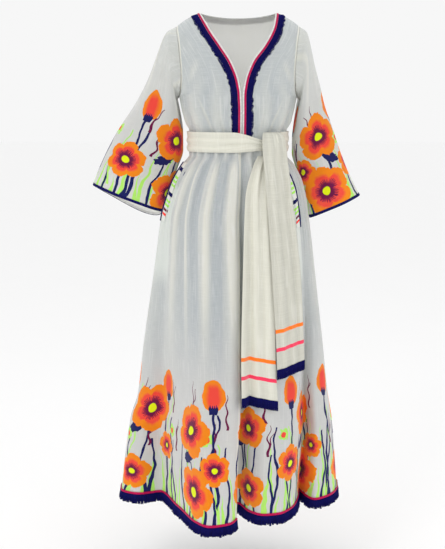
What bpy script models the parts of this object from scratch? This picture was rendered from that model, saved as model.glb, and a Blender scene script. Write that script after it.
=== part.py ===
"""A long ivory cotton dress, worn: open V neck, bell sleeves, gathered skirt and a tied sash.

Metres, +Z up. The front of the dress faces -Y and the wearer's left is +X. The origin is on the
shoulder line, midway between the two neck points, where the wearer's shoulders carry the dress.
A turn is an angle round the body: 0 at the front, 90 at the wearer's left, 180 at the back.
A level is a height, 0 at the shoulder line.
"""

import math

import bmesh
import bpy
import numpy as np
from mathutils import Vector
from mathutils.bvhtree import BVHTree

# Cloth and seams
CLOTH = 0.0015
TRIM = 0.0012
SEAM_GAP = 0.0004
LAY_GAP = 0.0010

# Heights down the dress
WAIST = -0.345
UNDERARM = -0.2222
SKIRT_EDGE = -1.344
FRINGE_TIP = -1.372


class Table:
    """Rows of sizes under named columns, read smoothly between its rows by its first column."""

    def __init__(self, columns, rows):
        values = np.array(sorted(rows), float)
        self.keys = values[:, 0]
        self.values = {name: values[:, i] for i, name in enumerate(columns)}
        self.slopes = {name: self.slope(column) for name, column in self.values.items()}

    def slope(self, column):
        """The slope at each row, flat where the column turns back, so that nothing overshoots."""
        step = np.diff(column) / np.diff(self.keys)
        before, after = step[:-1], step[1:]
        same_way = before * after > 0
        inner = np.where(same_way, 2 * before * after / np.where(same_way, before + after, 1), 0)
        return np.concatenate([[step[0]], inner, [step[-1]]])

    def at(self, key, name):
        key = np.clip(key, self.keys[0], self.keys[-1])
        row = np.clip(np.searchsorted(self.keys, key) - 1, 0, len(self.keys) - 2)
        width = self.keys[row + 1] - self.keys[row]
        t = (key - self.keys[row]) / width
        low, high = self.values[name][row], self.values[name][row + 1]
        leave, arrive = self.slopes[name][row] * width, self.slopes[name][row + 1] * width
        rise = t * t * (3 - 2 * t)
        ends = leave * t * (1 - t) ** 2 - arrive * t * t * (1 - t)
        return low * (1 - rise) + high * rise + ends


def smooth(x, start, end):
    t = np.clip((x - start) / (end - start), 0, 1)
    return t * t * (3 - 2 * t)


def unit(vectors):
    return vectors / np.maximum(np.linalg.norm(vectors, axis=-1, keepdims=True), 1e-12)


# Finishes
def finish(name, colour, roughness):
    material = bpy.data.materials.new(name)
    material.use_nodes = True
    shader = material.node_tree.nodes["Principled BSDF"]
    shader.inputs["Base Color"].default_value = (*colour, 1)
    shader.inputs["Roughness"].default_value = roughness
    shader.inputs["Metallic"].default_value = 0
    return material


# Solids from grids of points
def solid(name, points, faces, material):
    """A closed mesh object whose faces are turned outwards."""
    points = np.asarray(points, float)
    volume = 0
    for face in faces:
        for k in range(1, len(face) - 1):
            a, b, c = points[face[0]], points[face[k]], points[face[k + 1]]
            volume += np.dot(a, np.cross(b, c))
    if volume < 0:
        faces = [face[::-1] for face in faces]
    mesh = bpy.data.meshes.new(name)
    mesh.from_pydata(points.tolist(), [], faces)
    mesh.materials.append(material)
    mesh.shade_smooth()
    mesh.set_sharp_from_angle(angle=math.radians(50))
    made = bpy.data.objects.new(name, mesh)
    bpy.context.scene.collection.objects.link(made)
    return made


def grid_normals(grid, closed=False):
    """The unit normal at each point of a grid of rows by columns."""
    if closed:
        across = np.roll(grid, -1, axis=1) - np.roll(grid, 1, axis=1)
    else:
        across = np.gradient(grid, axis=1)
    return unit(np.cross(across, np.gradient(grid, axis=0)))


def between(name, outer, inner, material, closed=False):
    """The closed solid between two grids of the same rows and columns."""
    rows, columns = outer.shape[:2]
    size = rows * columns
    points = np.concatenate([outer.reshape(-1, 3), inner.reshape(-1, 3)])
    last = (rows - 1) * columns
    faces = []
    for j in range(columns if closed else columns - 1):
        k = (j + 1) % columns
        for i in range(rows - 1):
            a, b, c, d = i * columns + j, i * columns + k, (i + 1) * columns + k, (i + 1) * columns + j
            faces += [[a, b, c, d], [size + a, size + d, size + c, size + b]]
        faces += [[size + j, size + k, k, j], [last + j, last + k, size + last + k, size + last + j]]
    for i in range(0 if closed else rows - 1):
        a, d = i * columns, (i + 1) * columns
        faces += [[a, d, size + d, size + a]]
        a, d = a + columns - 1, d + columns - 1
        faces += [[size + a, size + d, d, a]]
    return solid(name, points, faces, material)


def wall(name, grid, material, thickness=CLOTH, closed=False, normals=None):
    """A cloth wall whose middle is the grid."""
    if normals is None:
        normals = grid_normals(grid, closed)
    half = normals * thickness / 2
    return between(name, grid + half, grid - half, material, closed)


CELL_SPOTS = [(u / 8, v / 4) for u in range(9) for v in range(5)]


def laid(name, grid, normals, under, material, reach=0.008, thickness=TRIM):
    """A strip laid on the objects under it: dropped onto them, then raised cell by cell to clear them."""
    points, faces = [], []
    for made in under:
        first = len(points)
        points += [made.matrix_world @ vertex.co for vertex in made.data.vertices]
        faces += [[first + i for i in polygon.vertices] for polygon in made.data.polygons]
    tree = BVHTree.FromPolygons(points, faces)

    def above(point, normal):
        """How far the cloth below or above a point lies from it, along the normal."""
        normal = Vector(unit(normal))
        hit = tree.ray_cast(Vector(point) + normal * reach, -normal, 2 * reach)[0]
        return (hit - Vector(point)).dot(normal) if hit else 0.0

    low = grid.copy()
    for index in np.ndindex(grid.shape[:2]):
        low[index] += normals[index] * above(grid[index], normals[index])
    for _ in range(3):
        lift = np.zeros(grid.shape[:2])
        for i, j in np.ndindex(grid.shape[0] - 1, grid.shape[1] - 1):
            need = 0.0
            for u, v in CELL_SPOTS:
                share = np.array([[(1 - u) * (1 - v), (1 - u) * v], [u * (1 - v), u * v]])[..., None]
                point = (low[i : i + 2, j : j + 2] * share).sum(axis=(0, 1))
                normal = (normals[i : i + 2, j : j + 2] * share).sum(axis=(0, 1))
                need = max(need, above(point, normal))
            lift[i : i + 2, j : j + 2] = np.maximum(lift[i : i + 2, j : j + 2], need)
        low += normals * lift[..., None]
    low += normals * LAY_GAP
    return between(name, low + normals * thickness, low, material)


# Bodice sections. level: height at the neck side; drop: how much lower the armhole side lies;
# width: half the width; front and back: depths from the side line; arm_front and arm_back: the
# turn at which the cloth ends at the armhole, or 90 at the side seam below it.
BODICE = Table(
    ("level", "drop", "width", "front", "back", "arm_front", "arm_back"),
    [
        (-0.3450, 0.000, 0.1315, 0.100, 0.088, 90.0, 90.0),
        (-0.3120, 0.000, 0.1315, 0.100, 0.088, 90.0, 90.0),
        (-0.2960, 0.000, 0.1390, 0.109, 0.096, 90.0, 90.0),
        (-0.2650, 0.000, 0.1490, 0.121, 0.104, 90.0, 90.0),
        (-0.2222, 0.000, 0.1590, 0.130, 0.110, 90.0, 90.0),
        (-0.2120, 0.001, 0.1610, 0.131, 0.111, 79.0, 79.0),
        (-0.1950, 0.002, 0.1640, 0.131, 0.112, 71.0, 71.0),
        (-0.1650, 0.006, 0.1680, 0.127, 0.113, 65.5, 64.0),
        (-0.1300, 0.012, 0.1710, 0.117, 0.111, 64.0, 61.5),
        (-0.0900, 0.018, 0.1745, 0.099, 0.104, 64.2, 61.0),
        (-0.0550, 0.024, 0.1765, 0.080, 0.091, 65.0, 62.0),
        (-0.0280, 0.029, 0.1780, 0.060, 0.071, 66.3, 64.5),
        (-0.0100, 0.032, 0.1790, 0.037, 0.046, 67.3, 66.8),
        (-0.0025, 0.033, 0.1790, 0.018, 0.023, 67.5, 67.5),
        (0.0000, 0.033, 0.1790, 0.000, 0.000, 67.5, 67.5),
    ],
)
BODICE_ROWS = np.array(
    [-0.3448, -0.312, -0.288, -0.258, UNDERARM, -0.212, -0.195, -0.165, -0.130]
    + [-0.092, -0.058, -0.030, -0.011, -0.0025, 0.0]
)
ARMHOLE_ROWS = BODICE_ROWS[BODICE_ROWS >= UNDERARM]

# The front edge, from the waist up the V neck: half its width, and how far its middle lies to the
# wearer's left, because the tied sash pulls the fronts that way.
FRONT_EDGE = Table(
    ("level", "half", "shift"),
    [
        (-0.345, 0.0013, 0.0100),
        (-0.256, 0.0014, 0.0102),
        (-0.217, 0.0022, 0.0092),
        (-0.178, 0.0083, 0.0090),
        (-0.131, 0.0263, 0.0087),
        (-0.086, 0.0570, 0.0105),
        (-0.045, 0.0820, 0.0080),
        (0.000, 0.1010, 0.0000),
    ],
)
NECK_HALF = 0.101
SHOULDER_TIP = 0.165
BACK_NECK_DROP = 0.010
BORDER = 0.036

# Gathers each side of the waist seam. skirt_broad is the height of the folds that pairs of
# gathers run into.
WAVES = Table(
    ("level", "bodice", "skirt_fine", "skirt_broad"),
    [
        (-1.344, 0.0000, 0.0000, 0.0025),
        (-1.150, 0.0000, 0.0000, 0.0045),
        (-0.950, 0.0000, 0.0000, 0.0075),
        (-0.750, 0.0000, 0.0008, 0.0085),
        (-0.600, 0.0000, 0.0020, 0.0080),
        (-0.480, 0.0000, 0.0040, 0.0055),
        (-0.405, 0.0000, 0.0050, 0.0020),
        (-0.378, 0.0000, 0.0030, 0.0000),
        (-0.345, 0.0030, 0.0030, 0.0000),
        (-0.312, 0.0030, 0.0000, 0.0000),
        (-0.285, 0.0042, 0.0000, 0.0000),
        (-0.225, 0.0024, 0.0000, 0.0000),
        (-0.165, 0.0008, 0.0000, 0.0000),
        (-0.110, 0.0000, 0.0000, 0.0000),
        (0.000, 0.0000, 0.0000, 0.0000),
    ],
)
FRONT_WAVES = 3
BACK_WAVES = 5
SKIRT_WAVES = 26


def bodice_point(side, x, level, wave=0.0):
    """A point of the bodice: side -1 is the front, 1 the back; wave is the gathers' share there."""
    half_width = BODICE.at(level, "width")
    depth = BODICE.at(level, "front" if side < 0 else "back")
    sine = np.clip(x / half_width, -1, 1)
    across = np.clip((np.abs(x) - NECK_HALF) / (SHOULDER_TIP - NECK_HALF), 0, 1.1)
    push = WAVES.at(level, "bodice") * wave
    y = side * (depth + push) * np.sqrt(1 - sine**2)
    z = level - BODICE.at(level, "drop") * across**1.6
    return np.stack(np.broadcast_arrays(x + sine * push, y, z), axis=-1)


def armhole_x(side, level):
    turn = BODICE.at(level, "arm_front" if side < 0 else "arm_back")
    return BODICE.at(level, "width") * np.sin(np.radians(turn))


def front_edge_x(hand, level):
    return hand * FRONT_EDGE.at(level, "half") + FRONT_EDGE.at(level, "shift")


def front_panel(hand):
    """A front's grid: hand 1 is the wearer's left. A flat border, then the gathers to the side."""
    share = np.linspace(0, 1, 4 * FRONT_WAVES + 1)
    level, share = np.meshgrid(BODICE_ROWS, np.concatenate([[-1], share]), indexing="ij")
    half_width = BODICE.at(level, "width")
    start = np.arcsin(front_edge_x(hand, level) / half_width)
    end = hand * np.radians(BODICE.at(level, "arm_front"))
    gather_start = start + hand * BORDER / half_width / np.cos(start)
    turn = np.where(
        share < 0,
        start + (gather_start - start) * (1 + share),
        gather_start + (end - gather_start) * np.maximum(share, 0),
    )
    wave = np.where(share < 0, -1, -np.cos(2 * np.pi * FRONT_WAVES * share)) * smooth(share, -0.2, 0.15)
    grid = bodice_point(-1, half_width * np.sin(turn), level, wave)
    grid[:, -1, 1] -= SEAM_GAP * (BODICE_ROWS <= UNDERARM)
    grid[-1, :, 1] -= SEAM_GAP
    return grid[::-1, ::hand]


def bodice_normals(grid):
    """The normals of a bodice panel. Along its side and shoulder seams they lie in the seam's plane."""
    normals = grid_normals(grid)
    below = grid[:, 0, 2] <= UNDERARM + 1e-6
    for column in (0, -1):
        if abs(grid[-1, column, 0]) > 0.1:
            normals[below, column, 1] = 0
    normals[0, :, 1] *= 0.2
    return unit(normals)


def back_level(row, share):
    """The back's top edge is scooped between the neck points; the rows below follow it a little."""
    neck_share = math.degrees(math.asin(NECK_HALF / BODICE.at(0.0, "width"))) / 67.5
    scoop = np.clip(1 - (share / neck_share) ** 2, 0, 1) * BACK_NECK_DROP
    return row - scoop * np.clip(1 + row / 0.2, 0, 1) ** 2


def back_panel():
    share = np.linspace(-1, 1, 4 * BACK_WAVES + 1)
    row, share = np.meshgrid(BODICE_ROWS, share, indexing="ij")
    level = back_level(row, share)
    turn = share * np.radians(BODICE.at(level, "arm_back"))
    wave = -np.cos(np.pi * BACK_WAVES * (share + 1))
    grid = bodice_point(1, BODICE.at(level, "width") * np.sin(turn), level, wave)
    grid[:, [0, -1], 1] += SEAM_GAP * (row[:, [0, -1]] <= UNDERARM)
    grid[-1, :, 1] += SEAM_GAP * (level[-1] > -0.0005)
    return grid[::-1, ::-1]


# The neck trims, from the neckline outwards: how far each begins and ends from it.
NECK_TRIMS = (
    ("neck_edging", 0.0002, 0.0038, 1),
    ("neck_piping", 0.0042, 0.0092, 1),
    ("neck_fringe_band", 0.0096, 0.0298, 2),
)
TRIM_FOOT = -0.340
TRIM_ROWS = np.array(
    [TRIM_FOOT, -0.312, -0.274, -0.238, -0.206, -0.178, -0.150, -0.122, -0.095]
    + [-0.070, -0.048, -0.030, -0.015, -0.006, -0.002]
)


def surface_normals(side, x, level):
    step = 0.0004
    level = np.minimum(level, -step)
    across = bodice_point(side, x + step, level) - bodice_point(side, x - step, level)
    down = bodice_point(side, x, level - step) - bodice_point(side, x, level + step)
    return unit(np.cross(across, down) * side)


def neckline():
    """Points and normals all along the neckline: up the right front, round the back, down the left."""
    points, normals = [], []
    x = front_edge_x(-1, TRIM_ROWS)
    points += [bodice_point(-1, x, TRIM_ROWS)]
    normals += [surface_normals(-1, x, TRIM_ROWS)]
    neck_share = math.degrees(math.asin(NECK_HALF / BODICE.at(0.0, "width"))) / 67.5
    share = np.sin(np.linspace(-1, 1, 13) * np.pi / 2) * neck_share
    level = back_level(0.0, share)
    turn = share * np.radians(BODICE.at(level, "arm_back"))
    x = BODICE.at(level, "width") * np.sin(turn)
    points += [bodice_point(1, x, level)]
    normals += [surface_normals(1, x, level)]
    x = front_edge_x(1, TRIM_ROWS)[::-1]
    points += [bodice_point(-1, x, TRIM_ROWS[::-1])]
    normals += [surface_normals(-1, x, TRIM_ROWS[::-1])]
    points, normals = np.concatenate(points), np.concatenate(normals)
    for _ in range(2):
        normals[1:-1] = unit(normals[:-2] + 2 * normals[1:-1] + normals[2:])
    return points, normals


def neck_trim(name, begins, ends, cells, under, material):
    points, normals = neckline()
    outwards = unit(np.cross(normals, np.gradient(points, axis=0)))
    for _ in range(3):
        outwards[1:-1] = unit(outwards[:-2] + outwards[1:-1] + outwards[2:])
    reach = np.linspace(begins, ends, cells + 1)
    grid = points[:, None] + outwards[:, None] * reach[:, None]
    spread = np.repeat(normals[:, None], cells + 1, axis=1)
    return laid(name, grid, spread, under, material, reach=0.03)


# Sleeve rings down each arm. outer and inner are the points of the ring's two edges seen from the
# front; middle_y and depth place its front and back; sag is how far its back hangs below its front.
SLEEVE_COLUMNS = ("down", "outer_x", "outer_z", "inner_x", "inner_z", "middle_y", "depth", "sag")
RIGHT_SLEEVE = Table(
    SLEEVE_COLUMNS,
    [
        (1, -0.195, -0.047, -0.170, -0.231, 0.006, 0.066, 0.000),
        (2, -0.213, -0.090, -0.164, -0.244, 0.009, 0.067, 0.000),
        (3, -0.231, -0.138, -0.158, -0.262, 0.013, 0.067, 0.000),
        (4, -0.252, -0.187, -0.154, -0.285, 0.018, 0.065, 0.000),
        (5, -0.286, -0.247, -0.151, -0.318, 0.026, 0.063, 0.000),
        (6, -0.326, -0.305, -0.151, -0.365, 0.034, 0.060, 0.002),
        (7, -0.362, -0.367, -0.169, -0.422, 0.043, 0.057, 0.006),
        (8, -0.390, -0.427, -0.194, -0.483, 0.051, 0.055, 0.014),
        (9, -0.405, -0.466, -0.214, -0.540, 0.056, 0.054, 0.026),
    ],
)
LEFT_SLEEVE = Table(
    SLEEVE_COLUMNS,
    [
        (1, 0.188, -0.047, 0.170, -0.231, 0.006, 0.066, 0.000),
        (2, 0.199, -0.090, 0.165, -0.246, 0.009, 0.067, 0.000),
        (3, 0.210, -0.138, 0.159, -0.268, 0.013, 0.067, 0.000),
        (4, 0.224, -0.187, 0.154, -0.297, 0.018, 0.065, 0.000),
        (5, 0.240, -0.247, 0.151, -0.334, 0.026, 0.062, 0.000),
        (6, 0.262, -0.305, 0.151, -0.374, 0.034, 0.059, 0.001),
        (7, 0.284, -0.367, 0.166, -0.427, 0.043, 0.056, 0.003),
        (8, 0.310, -0.430, 0.185, -0.492, 0.051, 0.054, 0.006),
        (9, 0.343, -0.494, 0.203, -0.556, 0.056, 0.053, 0.011),
    ],
)
SLEEVE_FOLDS = 5
SLEEVE_FOLD_HEIGHT = 0.0028


def armhole_ring(hand):
    """The sleeve's first ring, a seam's gap outside the armhole: down the front, then up the back."""
    halves = []
    level = ARMHOLE_ROWS[::-1]
    for side in (-1, 1):
        x = hand * armhole_x(side, level)
        edge = bodice_point(side, x, level, -1.0)
        within = bodice_point(side, x - hand * 0.003, level, -1.0)
        low = smooth(-level, 0.10, 0.19)[:, None]
        normal = surface_normals(side, np.clip(x, -0.156, 0.156), level)
        lapped = unit(normal * np.array([1, 1, 0])) * 0.0023
        halves.append(edge + unit(edge - within) * 0.0016 * (1 - low) + lapped * low)
    front, back = halves
    return np.concatenate([front, back[-2:0:-1]])


def sleeve_turns(hand):
    """The angle round the sleeve of each point of its armhole ring, by its distance along the ring."""
    ring = armhole_ring(hand)
    steps = np.linalg.norm(np.roll(ring, -1, axis=0) - ring, axis=1)
    half = len(ring) // 2
    front = np.concatenate([[0], np.cumsum(steps[:half])]) / np.sum(steps[:half])
    back = np.concatenate([[0], np.cumsum(steps[half:])]) / np.sum(steps[half:])
    return np.concatenate([front[:-1], 1 + back[:-1]]) * np.pi


def sleeve_ring(table, down, around):
    """One ring of a sleeve, begun at its outer edge and run down its front."""
    middle = table.at(down, "middle_y")
    outer = np.array([table.at(down, "outer_x"), middle, table.at(down, "outer_z")])
    inner = np.array([table.at(down, "inner_x"), middle, table.at(down, "inner_z")])
    depth = table.at(down, "depth")
    amount = SLEEVE_FOLD_HEIGHT * smooth(down, 1, 3.5)
    fold = amount * np.cos(SLEEVE_FOLDS * around + 0.7 * down)
    ring = (outer + inner) / 2 + np.cos(around)[:, None] * (outer - inner) / 2
    ring[:, 1] -= np.sin(around) * (depth + fold)
    ring[:, 2] -= table.at(down, "sag") * np.maximum(-np.sin(around), 0) * (1 - 0.5 * np.cos(around))
    return ring


def sleeve(hand, table):
    by_length = sleeve_turns(hand)
    evenly = 2 * np.pi * np.arange(len(by_length)) / len(by_length)
    rings = [armhole_ring(hand)]
    for down in range(1, 10):
        around = by_length + (evenly - by_length) * smooth(down, 1, 5)
        rings.append(sleeve_ring(table, down, around))
    return np.array(rings)[:, ::hand]


CUFF_TRIM = 0.0065


def cuff_binding(name, grid, material):
    """A trim folded round the sleeve's edge: down its outside, under it and up its inside."""
    normals = grid_normals(grid, closed=True)[-1]
    edge, above = grid[-1], grid[-2]
    up = unit(above - edge)
    out = normals * (CLOTH / 2 + LAY_GAP + TRIM / 2)
    under = up * (LAY_GAP + TRIM / 2)
    top = edge + up * CUFF_TRIM
    wrapped = np.array([top + out, edge + out - under, edge - out - under, top - out])
    return wall(name, wrapped, material, TRIM, closed=True)


# Skirt sections: middle_x shifts a section sideways; width, front and back are its half sizes.
SKIRT = Table(
    ("level", "middle_x", "width", "front", "back", "middle_y"),
    [
        (-0.345, 0.000, 0.1315, 0.100, 0.088, 0.000),
        (-0.378, 0.000, 0.1315, 0.100, 0.088, 0.000),
        (-0.405, -0.001, 0.1490, 0.117, 0.106, 0.000),
        (-0.450, -0.003, 0.1730, 0.136, 0.124, 0.000),
        (-0.500, -0.006, 0.1880, 0.150, 0.138, 0.000),
        (-0.545, -0.009, 0.1980, 0.160, 0.148, 0.001),
        (-0.700, -0.008, 0.2200, 0.183, 0.172, 0.003),
        (-0.900, -0.009, 0.2470, 0.207, 0.198, 0.007),
        (-1.060, -0.010, 0.2650, 0.220, 0.216, 0.011),
        (-1.130, -0.015, 0.2810, 0.226, 0.224, 0.013),
        (-1.372, -0.022, 0.3050, 0.240, 0.250, 0.020),
    ],
)

# The hem seen from above: where the cloth at each turn hangs, one row for each crest, valley and
# flank of the big folds, from the underlapping left front round the back to the right front's edge.
HEM_FOLDS = Table(
    ("turn", "x", "y"),
    [
        (-14, -0.056, -0.136),
        (2, 0.000, -0.104),
        (12, 0.033, -0.176),
        (22, 0.065, -0.202),
        (34, 0.110, -0.196),
        (44, 0.146, -0.148),
        (54, 0.167, -0.060),
        (62, 0.177, 0.012),
        (70, 0.196, -0.046),
        (76, 0.217, -0.079),
        (82, 0.249, -0.056),
        (86, 0.275, -0.020),
        (90, 0.292, 0.030),
        (100, 0.296, 0.080),
        (110, 0.262, 0.110),
        (122, 0.238, 0.175),
        (133, 0.190, 0.232),
        (145, 0.135, 0.206),
        (158, 0.082, 0.262),
        (170, 0.025, 0.284),
        (182, -0.025, 0.238),
        (195, -0.085, 0.274),
        (207, -0.140, 0.266),
        (219, -0.180, 0.204),
        (231, -0.240, 0.198),
        (243, -0.290, 0.152),
        (255, -0.286, 0.098),
        (264, -0.326, 0.082),
        (270, -0.338, 0.044),
        (277, -0.334, 0.002),
        (286, -0.284, -0.030),
        (298, -0.218, -0.006),
        (312, -0.163, -0.134),
        (326, -0.112, -0.258),
        (340, -0.070, -0.300),
        (352, -0.024, -0.276),
        (364, -0.004, -0.232),
        (368, 0.002, -0.220),
    ],
)
FOLDS_BEGIN = -0.50
SKIRT_ROWS = np.array(
    [-0.3452, -0.377, -0.400, -0.440, -0.510, -0.610, -0.760, -0.920, -1.060, -1.140, SKIRT_EDGE]
)
COLUMN_TURN = 90 / SKIRT_WAVES
SKIRT_PANELS = (
    ("skirt_front_left", -3, 26),
    ("skirt_back", 26, 78),
    ("skirt_front_right", 78, 105),
)
TUCK = 0.0045


def section(turn, level):
    """The skirt without its folds, seen from above."""
    angle = np.radians(turn)
    depth = np.where(np.cos(angle) > 0, SKIRT.at(level, "front"), SKIRT.at(level, "back"))
    x = SKIRT.at(level, "middle_x") + SKIRT.at(level, "width") * np.sin(angle)
    y = SKIRT.at(level, "middle_y") - depth * np.cos(angle)
    return np.stack(np.broadcast_arrays(x, y), axis=-1)


def skirt_point(turn, level):
    """A point of the skirt: its section, its big folds, its gathers, and the tucked-in underlap."""
    turn, level = np.broadcast_arrays(np.asarray(turn, float), np.asarray(level, float))
    hem = np.stack([HEM_FOLDS.at(turn, "x"), HEM_FOLDS.at(turn, "y")], axis=-1)
    share = np.clip((FOLDS_BEGIN - level) / (FOLDS_BEGIN - FRINGE_TIP), 0, 1) ** 1.35
    plan = section(turn, level) + share[..., None] * (hem - section(turn, FRINGE_TIP))
    angle = np.radians(turn)
    uneven = 0.8 + 0.2 * np.sin(3 * angle + 0.8)
    calm = 1 - 0.8 * np.exp(-(((turn - 279) / 9) ** 2)) - 0.8 * np.exp(-(((turn - 58) / 9) ** 2))
    fine = np.cos(SKIRT_WAVES * angle) * WAVES.at(level, "skirt_fine") * np.where(level > -0.38, 1, calm)
    broad = np.cos(SKIRT_WAVES / 2 * angle + 0.5) * WAVES.at(level, "skirt_broad") * calm * uneven
    tucked = TUCK * (1 - smooth(turn, 6, 16)) * (1 - smooth(-level, 0.6, 1.2))
    push = fine + broad - tucked
    plan = plan + np.stack([np.sin(angle), -np.cos(angle)], axis=-1) * push[..., None]
    return np.concatenate([plan, level[..., None]], axis=-1)


def skirt_normals(turn, level):
    """Outward normals of the skirt, halfway between those of the two columns of faces that meet there."""
    here = skirt_point(turn, level)
    after = skirt_point(turn + COLUMN_TURN, level)
    before = skirt_point(turn - COLUMN_TURN, level)
    across = unit(after - here) + unit(here - before)
    down = skirt_point(turn, level - 0.01) - skirt_point(turn, level + 0.01)
    return unit(np.cross(down, across))


def skirt_panel(first, last):
    level, turn = np.meshgrid(SKIRT_ROWS, np.arange(first, last + 1) * COLUMN_TURN, indexing="ij")
    grid = skirt_point(turn, level)
    normals = skirt_normals(turn, level)
    along = unit(np.gradient(grid, axis=1))
    grid[:, 0] += along[:, 0] * SEAM_GAP / 2
    grid[:, -1] -= along[:, -1] * SEAM_GAP / 2
    return grid, normals


def hem_piping(name, under, material):
    turn, level = np.meshgrid(
        np.arange(-3, 106) * COLUMN_TURN, [SKIRT_EDGE + 0.0058, SKIRT_EDGE + 0.0012], indexing="xy"
    )
    grid = skirt_point(turn, level)
    return laid(name, grid, skirt_normals(turn, level), under, material)


def fringe(name, line, normals, drop, head, length, material, thickness=TRIM):
    """A backing strip along a line with locks hanging from it, one on every other of its cells."""
    count = len(line)
    out = normals * thickness / 2
    below = np.array([0, 0, -1.0])
    top, foot = line + drop * below, line + (drop + head) * below
    points = list(np.concatenate([top + out, top - out, foot + out, foot - out]))
    faces = []
    for j in range(count - 1):
        a, b = j, j + 1
        faces += [[a, b, count + b, count + a]]
        faces += [[a, 2 * count + a, 2 * count + b, b]]
        faces += [[count + b, 3 * count + b, 3 * count + a, count + a]]
        root = [2 * count + a, 3 * count + a, 3 * count + b, 2 * count + b]
        if j % 2:
            faces += [root]
            continue
        corners = np.array([points[i] for i in root])
        tip = corners.mean(axis=0) + (corners - corners.mean(axis=0)) * 0.7 + below * length
        first = len(points)
        points += list(tip)
        faces += [[root[k], root[(k + 1) % 4], first + (k + 1) % 4, first + k] for k in range(4)]
        faces += [[first, first + 1, first + 2, first + 3]]
    faces += [[0, count, 3 * count, 2 * count]]
    end = count - 1
    faces += [[end, 2 * count + end, 3 * count + end, count + end]]
    return consistent(solid(name, points, faces, material))


def consistent(made):
    """Turns every face of a closed mesh outwards."""
    mesh = bmesh.new()
    mesh.from_mesh(made.data)
    bmesh.ops.recalc_face_normals(mesh, faces=mesh.faces)
    mesh.to_mesh(made.data)
    mesh.free()
    return made


HEM_HEAD = 0.0070
HEM_LOCKS = 104


def hem_fringe(name, material):
    """Locks evenly along the hem, from the left front's underlap right round to the right front."""
    fine = np.linspace(-3, 105, 3000) * COLUMN_TURN
    hem = skirt_point(fine, SKIRT_EDGE)
    along = np.concatenate([[0], np.cumsum(np.linalg.norm(np.diff(hem, axis=0), axis=1))])
    starts = np.linspace(0, along[-1], HEM_LOCKS + 1)[:, None]
    spots = (starts + np.array([0, 0.62]) * along[-1] / HEM_LOCKS).ravel()[:-1]
    turn = np.interp(spots, along, fine)
    drop = SEAM_GAP + 0.0004
    length = SKIRT_EDGE - FRINGE_TIP - HEM_HEAD - drop
    line = skirt_point(turn, SKIRT_EDGE)
    return fringe(name, line, skirt_normals(turn, SKIRT_EDGE), drop, HEM_HEAD, length, material)


# Pockets. Each mouth is a line down the skirt; its facing lies beside it towards the front.
POCKETS = (
    ("right", 1, Table(("level", "turn"), [(-0.560, 275.5), (-0.500, 274.5), (-0.400, 273.5)])),
    (
        "left",
        -1,
        Table(
            ("level", "turn"),
            [(-0.572, 65.5), (-0.545, 66.3), (-0.527, 66.0), (-0.483, 64.0), (-0.438, 59.5), (-0.415, 56.0)],
        ),
    ),
)
POCKET_BINDING = 0.0045
POCKET_FACING = 0.0240
POCKET_BAG = {"left": (14, 19), "right": (79, 88)}


def pocket_strip(name, path, toward, begins, ends, cells, under, material):
    level = np.linspace(path.keys[-1], path.keys[0], 10)[:, None]
    mouth = path.at(level, "turn")
    step = 1.0
    per_degree = np.linalg.norm(skirt_point(mouth + step, level) - skirt_point(mouth, level), axis=-1)
    turn = mouth + toward * np.linspace(begins, ends, cells + 1) / per_degree
    grid = skirt_point(turn, level)
    return laid(name, grid, skirt_normals(turn, level + 0 * turn), under, material)


def pocket_bag(name, grid, normals, first, last, material):
    """A bag hung inside the skirt, made from the skirt's own points moved in."""
    rows = (SKIRT_ROWS <= -0.44) & (SKIRT_ROWS >= -0.77)
    inside = (grid - normals * (CLOTH + 2 * SEAM_GAP))[rows][:, first : last + 1]
    return wall(name, inside, material, normals=normals[rows][:, first : last + 1])


# Sash: a folded band round the waist seam, drawn in to a knot at the wearer's left front.
SASH_CLOTH = 0.0020
SASH_TOP = -0.3150
SASH_FOOT = -0.3690
SASH_RISE = 0.0056
SASH_RIPPLE = 0.0010
KNOT_TURN = 43


def around_waist(turn, level, rise):
    angle = np.radians(turn)
    depth = np.where(np.cos(angle) > 0, SKIRT.at(WAIST, "front"), SKIRT.at(WAIST, "back"))
    x = (SKIRT.at(WAIST, "width") + rise) * np.sin(angle)
    return np.stack(np.broadcast_arrays(x, -(depth + rise) * np.cos(angle), level), axis=-1)


def sash_band():
    """The band's grid, closed round the body. It narrows on both sides of the knot."""
    turn, share = np.meshgrid(np.arange(0, 360, 9.0), np.linspace(0, 1, 6), indexing="xy")
    from_knot = (turn - KNOT_TURN + 180) % 360 - 180
    reach = np.where(from_knot < 0, 42, 14)
    squeeze = 1 - smooth(np.abs(from_knot), 4, reach)
    top = SASH_TOP - 0.022 * squeeze
    foot = SASH_FOOT + 0.006 * squeeze
    ripple = SASH_RIPPLE * (1 + np.cos(5 * np.pi * share))
    return around_waist(turn, top + (foot - top) * share, SASH_RISE + ripple)


KNOT = Table(
    ("level", "width", "bulge"),
    [
        (-0.3765, 9.0, 0.0015),
        (-0.3680, 10.0, 0.0080),
        (-0.3560, 11.5, 0.0120),
        (-0.3440, 12.5, 0.0130),
        (-0.3300, 12.0, 0.0110),
        (-0.3220, 10.5, 0.0070),
        (-0.3175, 8.5, 0.0015),
    ],
)
KNOT_RISE = SASH_RISE + 2 * SASH_RIPPLE + SASH_CLOTH / 2 + SEAM_GAP


def sash_knot(name, material):
    """The wrap of the knot: a soft lump on the band, thin at its edges."""
    share, level = np.meshgrid(np.linspace(-1, 1, 9), KNOT.keys[::-1], indexing="xy")
    turn = KNOT_TURN + 1 + share * KNOT.at(level, "width")
    bulge = KNOT.at(level, "bulge") * np.clip(1 - share**4, 0.1, 1) * (1 + 0.12 * np.cos(3 * np.pi * share))
    inner = around_waist(turn, level, KNOT_RISE)
    outer = around_waist(turn, level, KNOT_RISE + np.maximum(bulge, 0.0012))
    return between(name, outer, inner, material)


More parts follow.
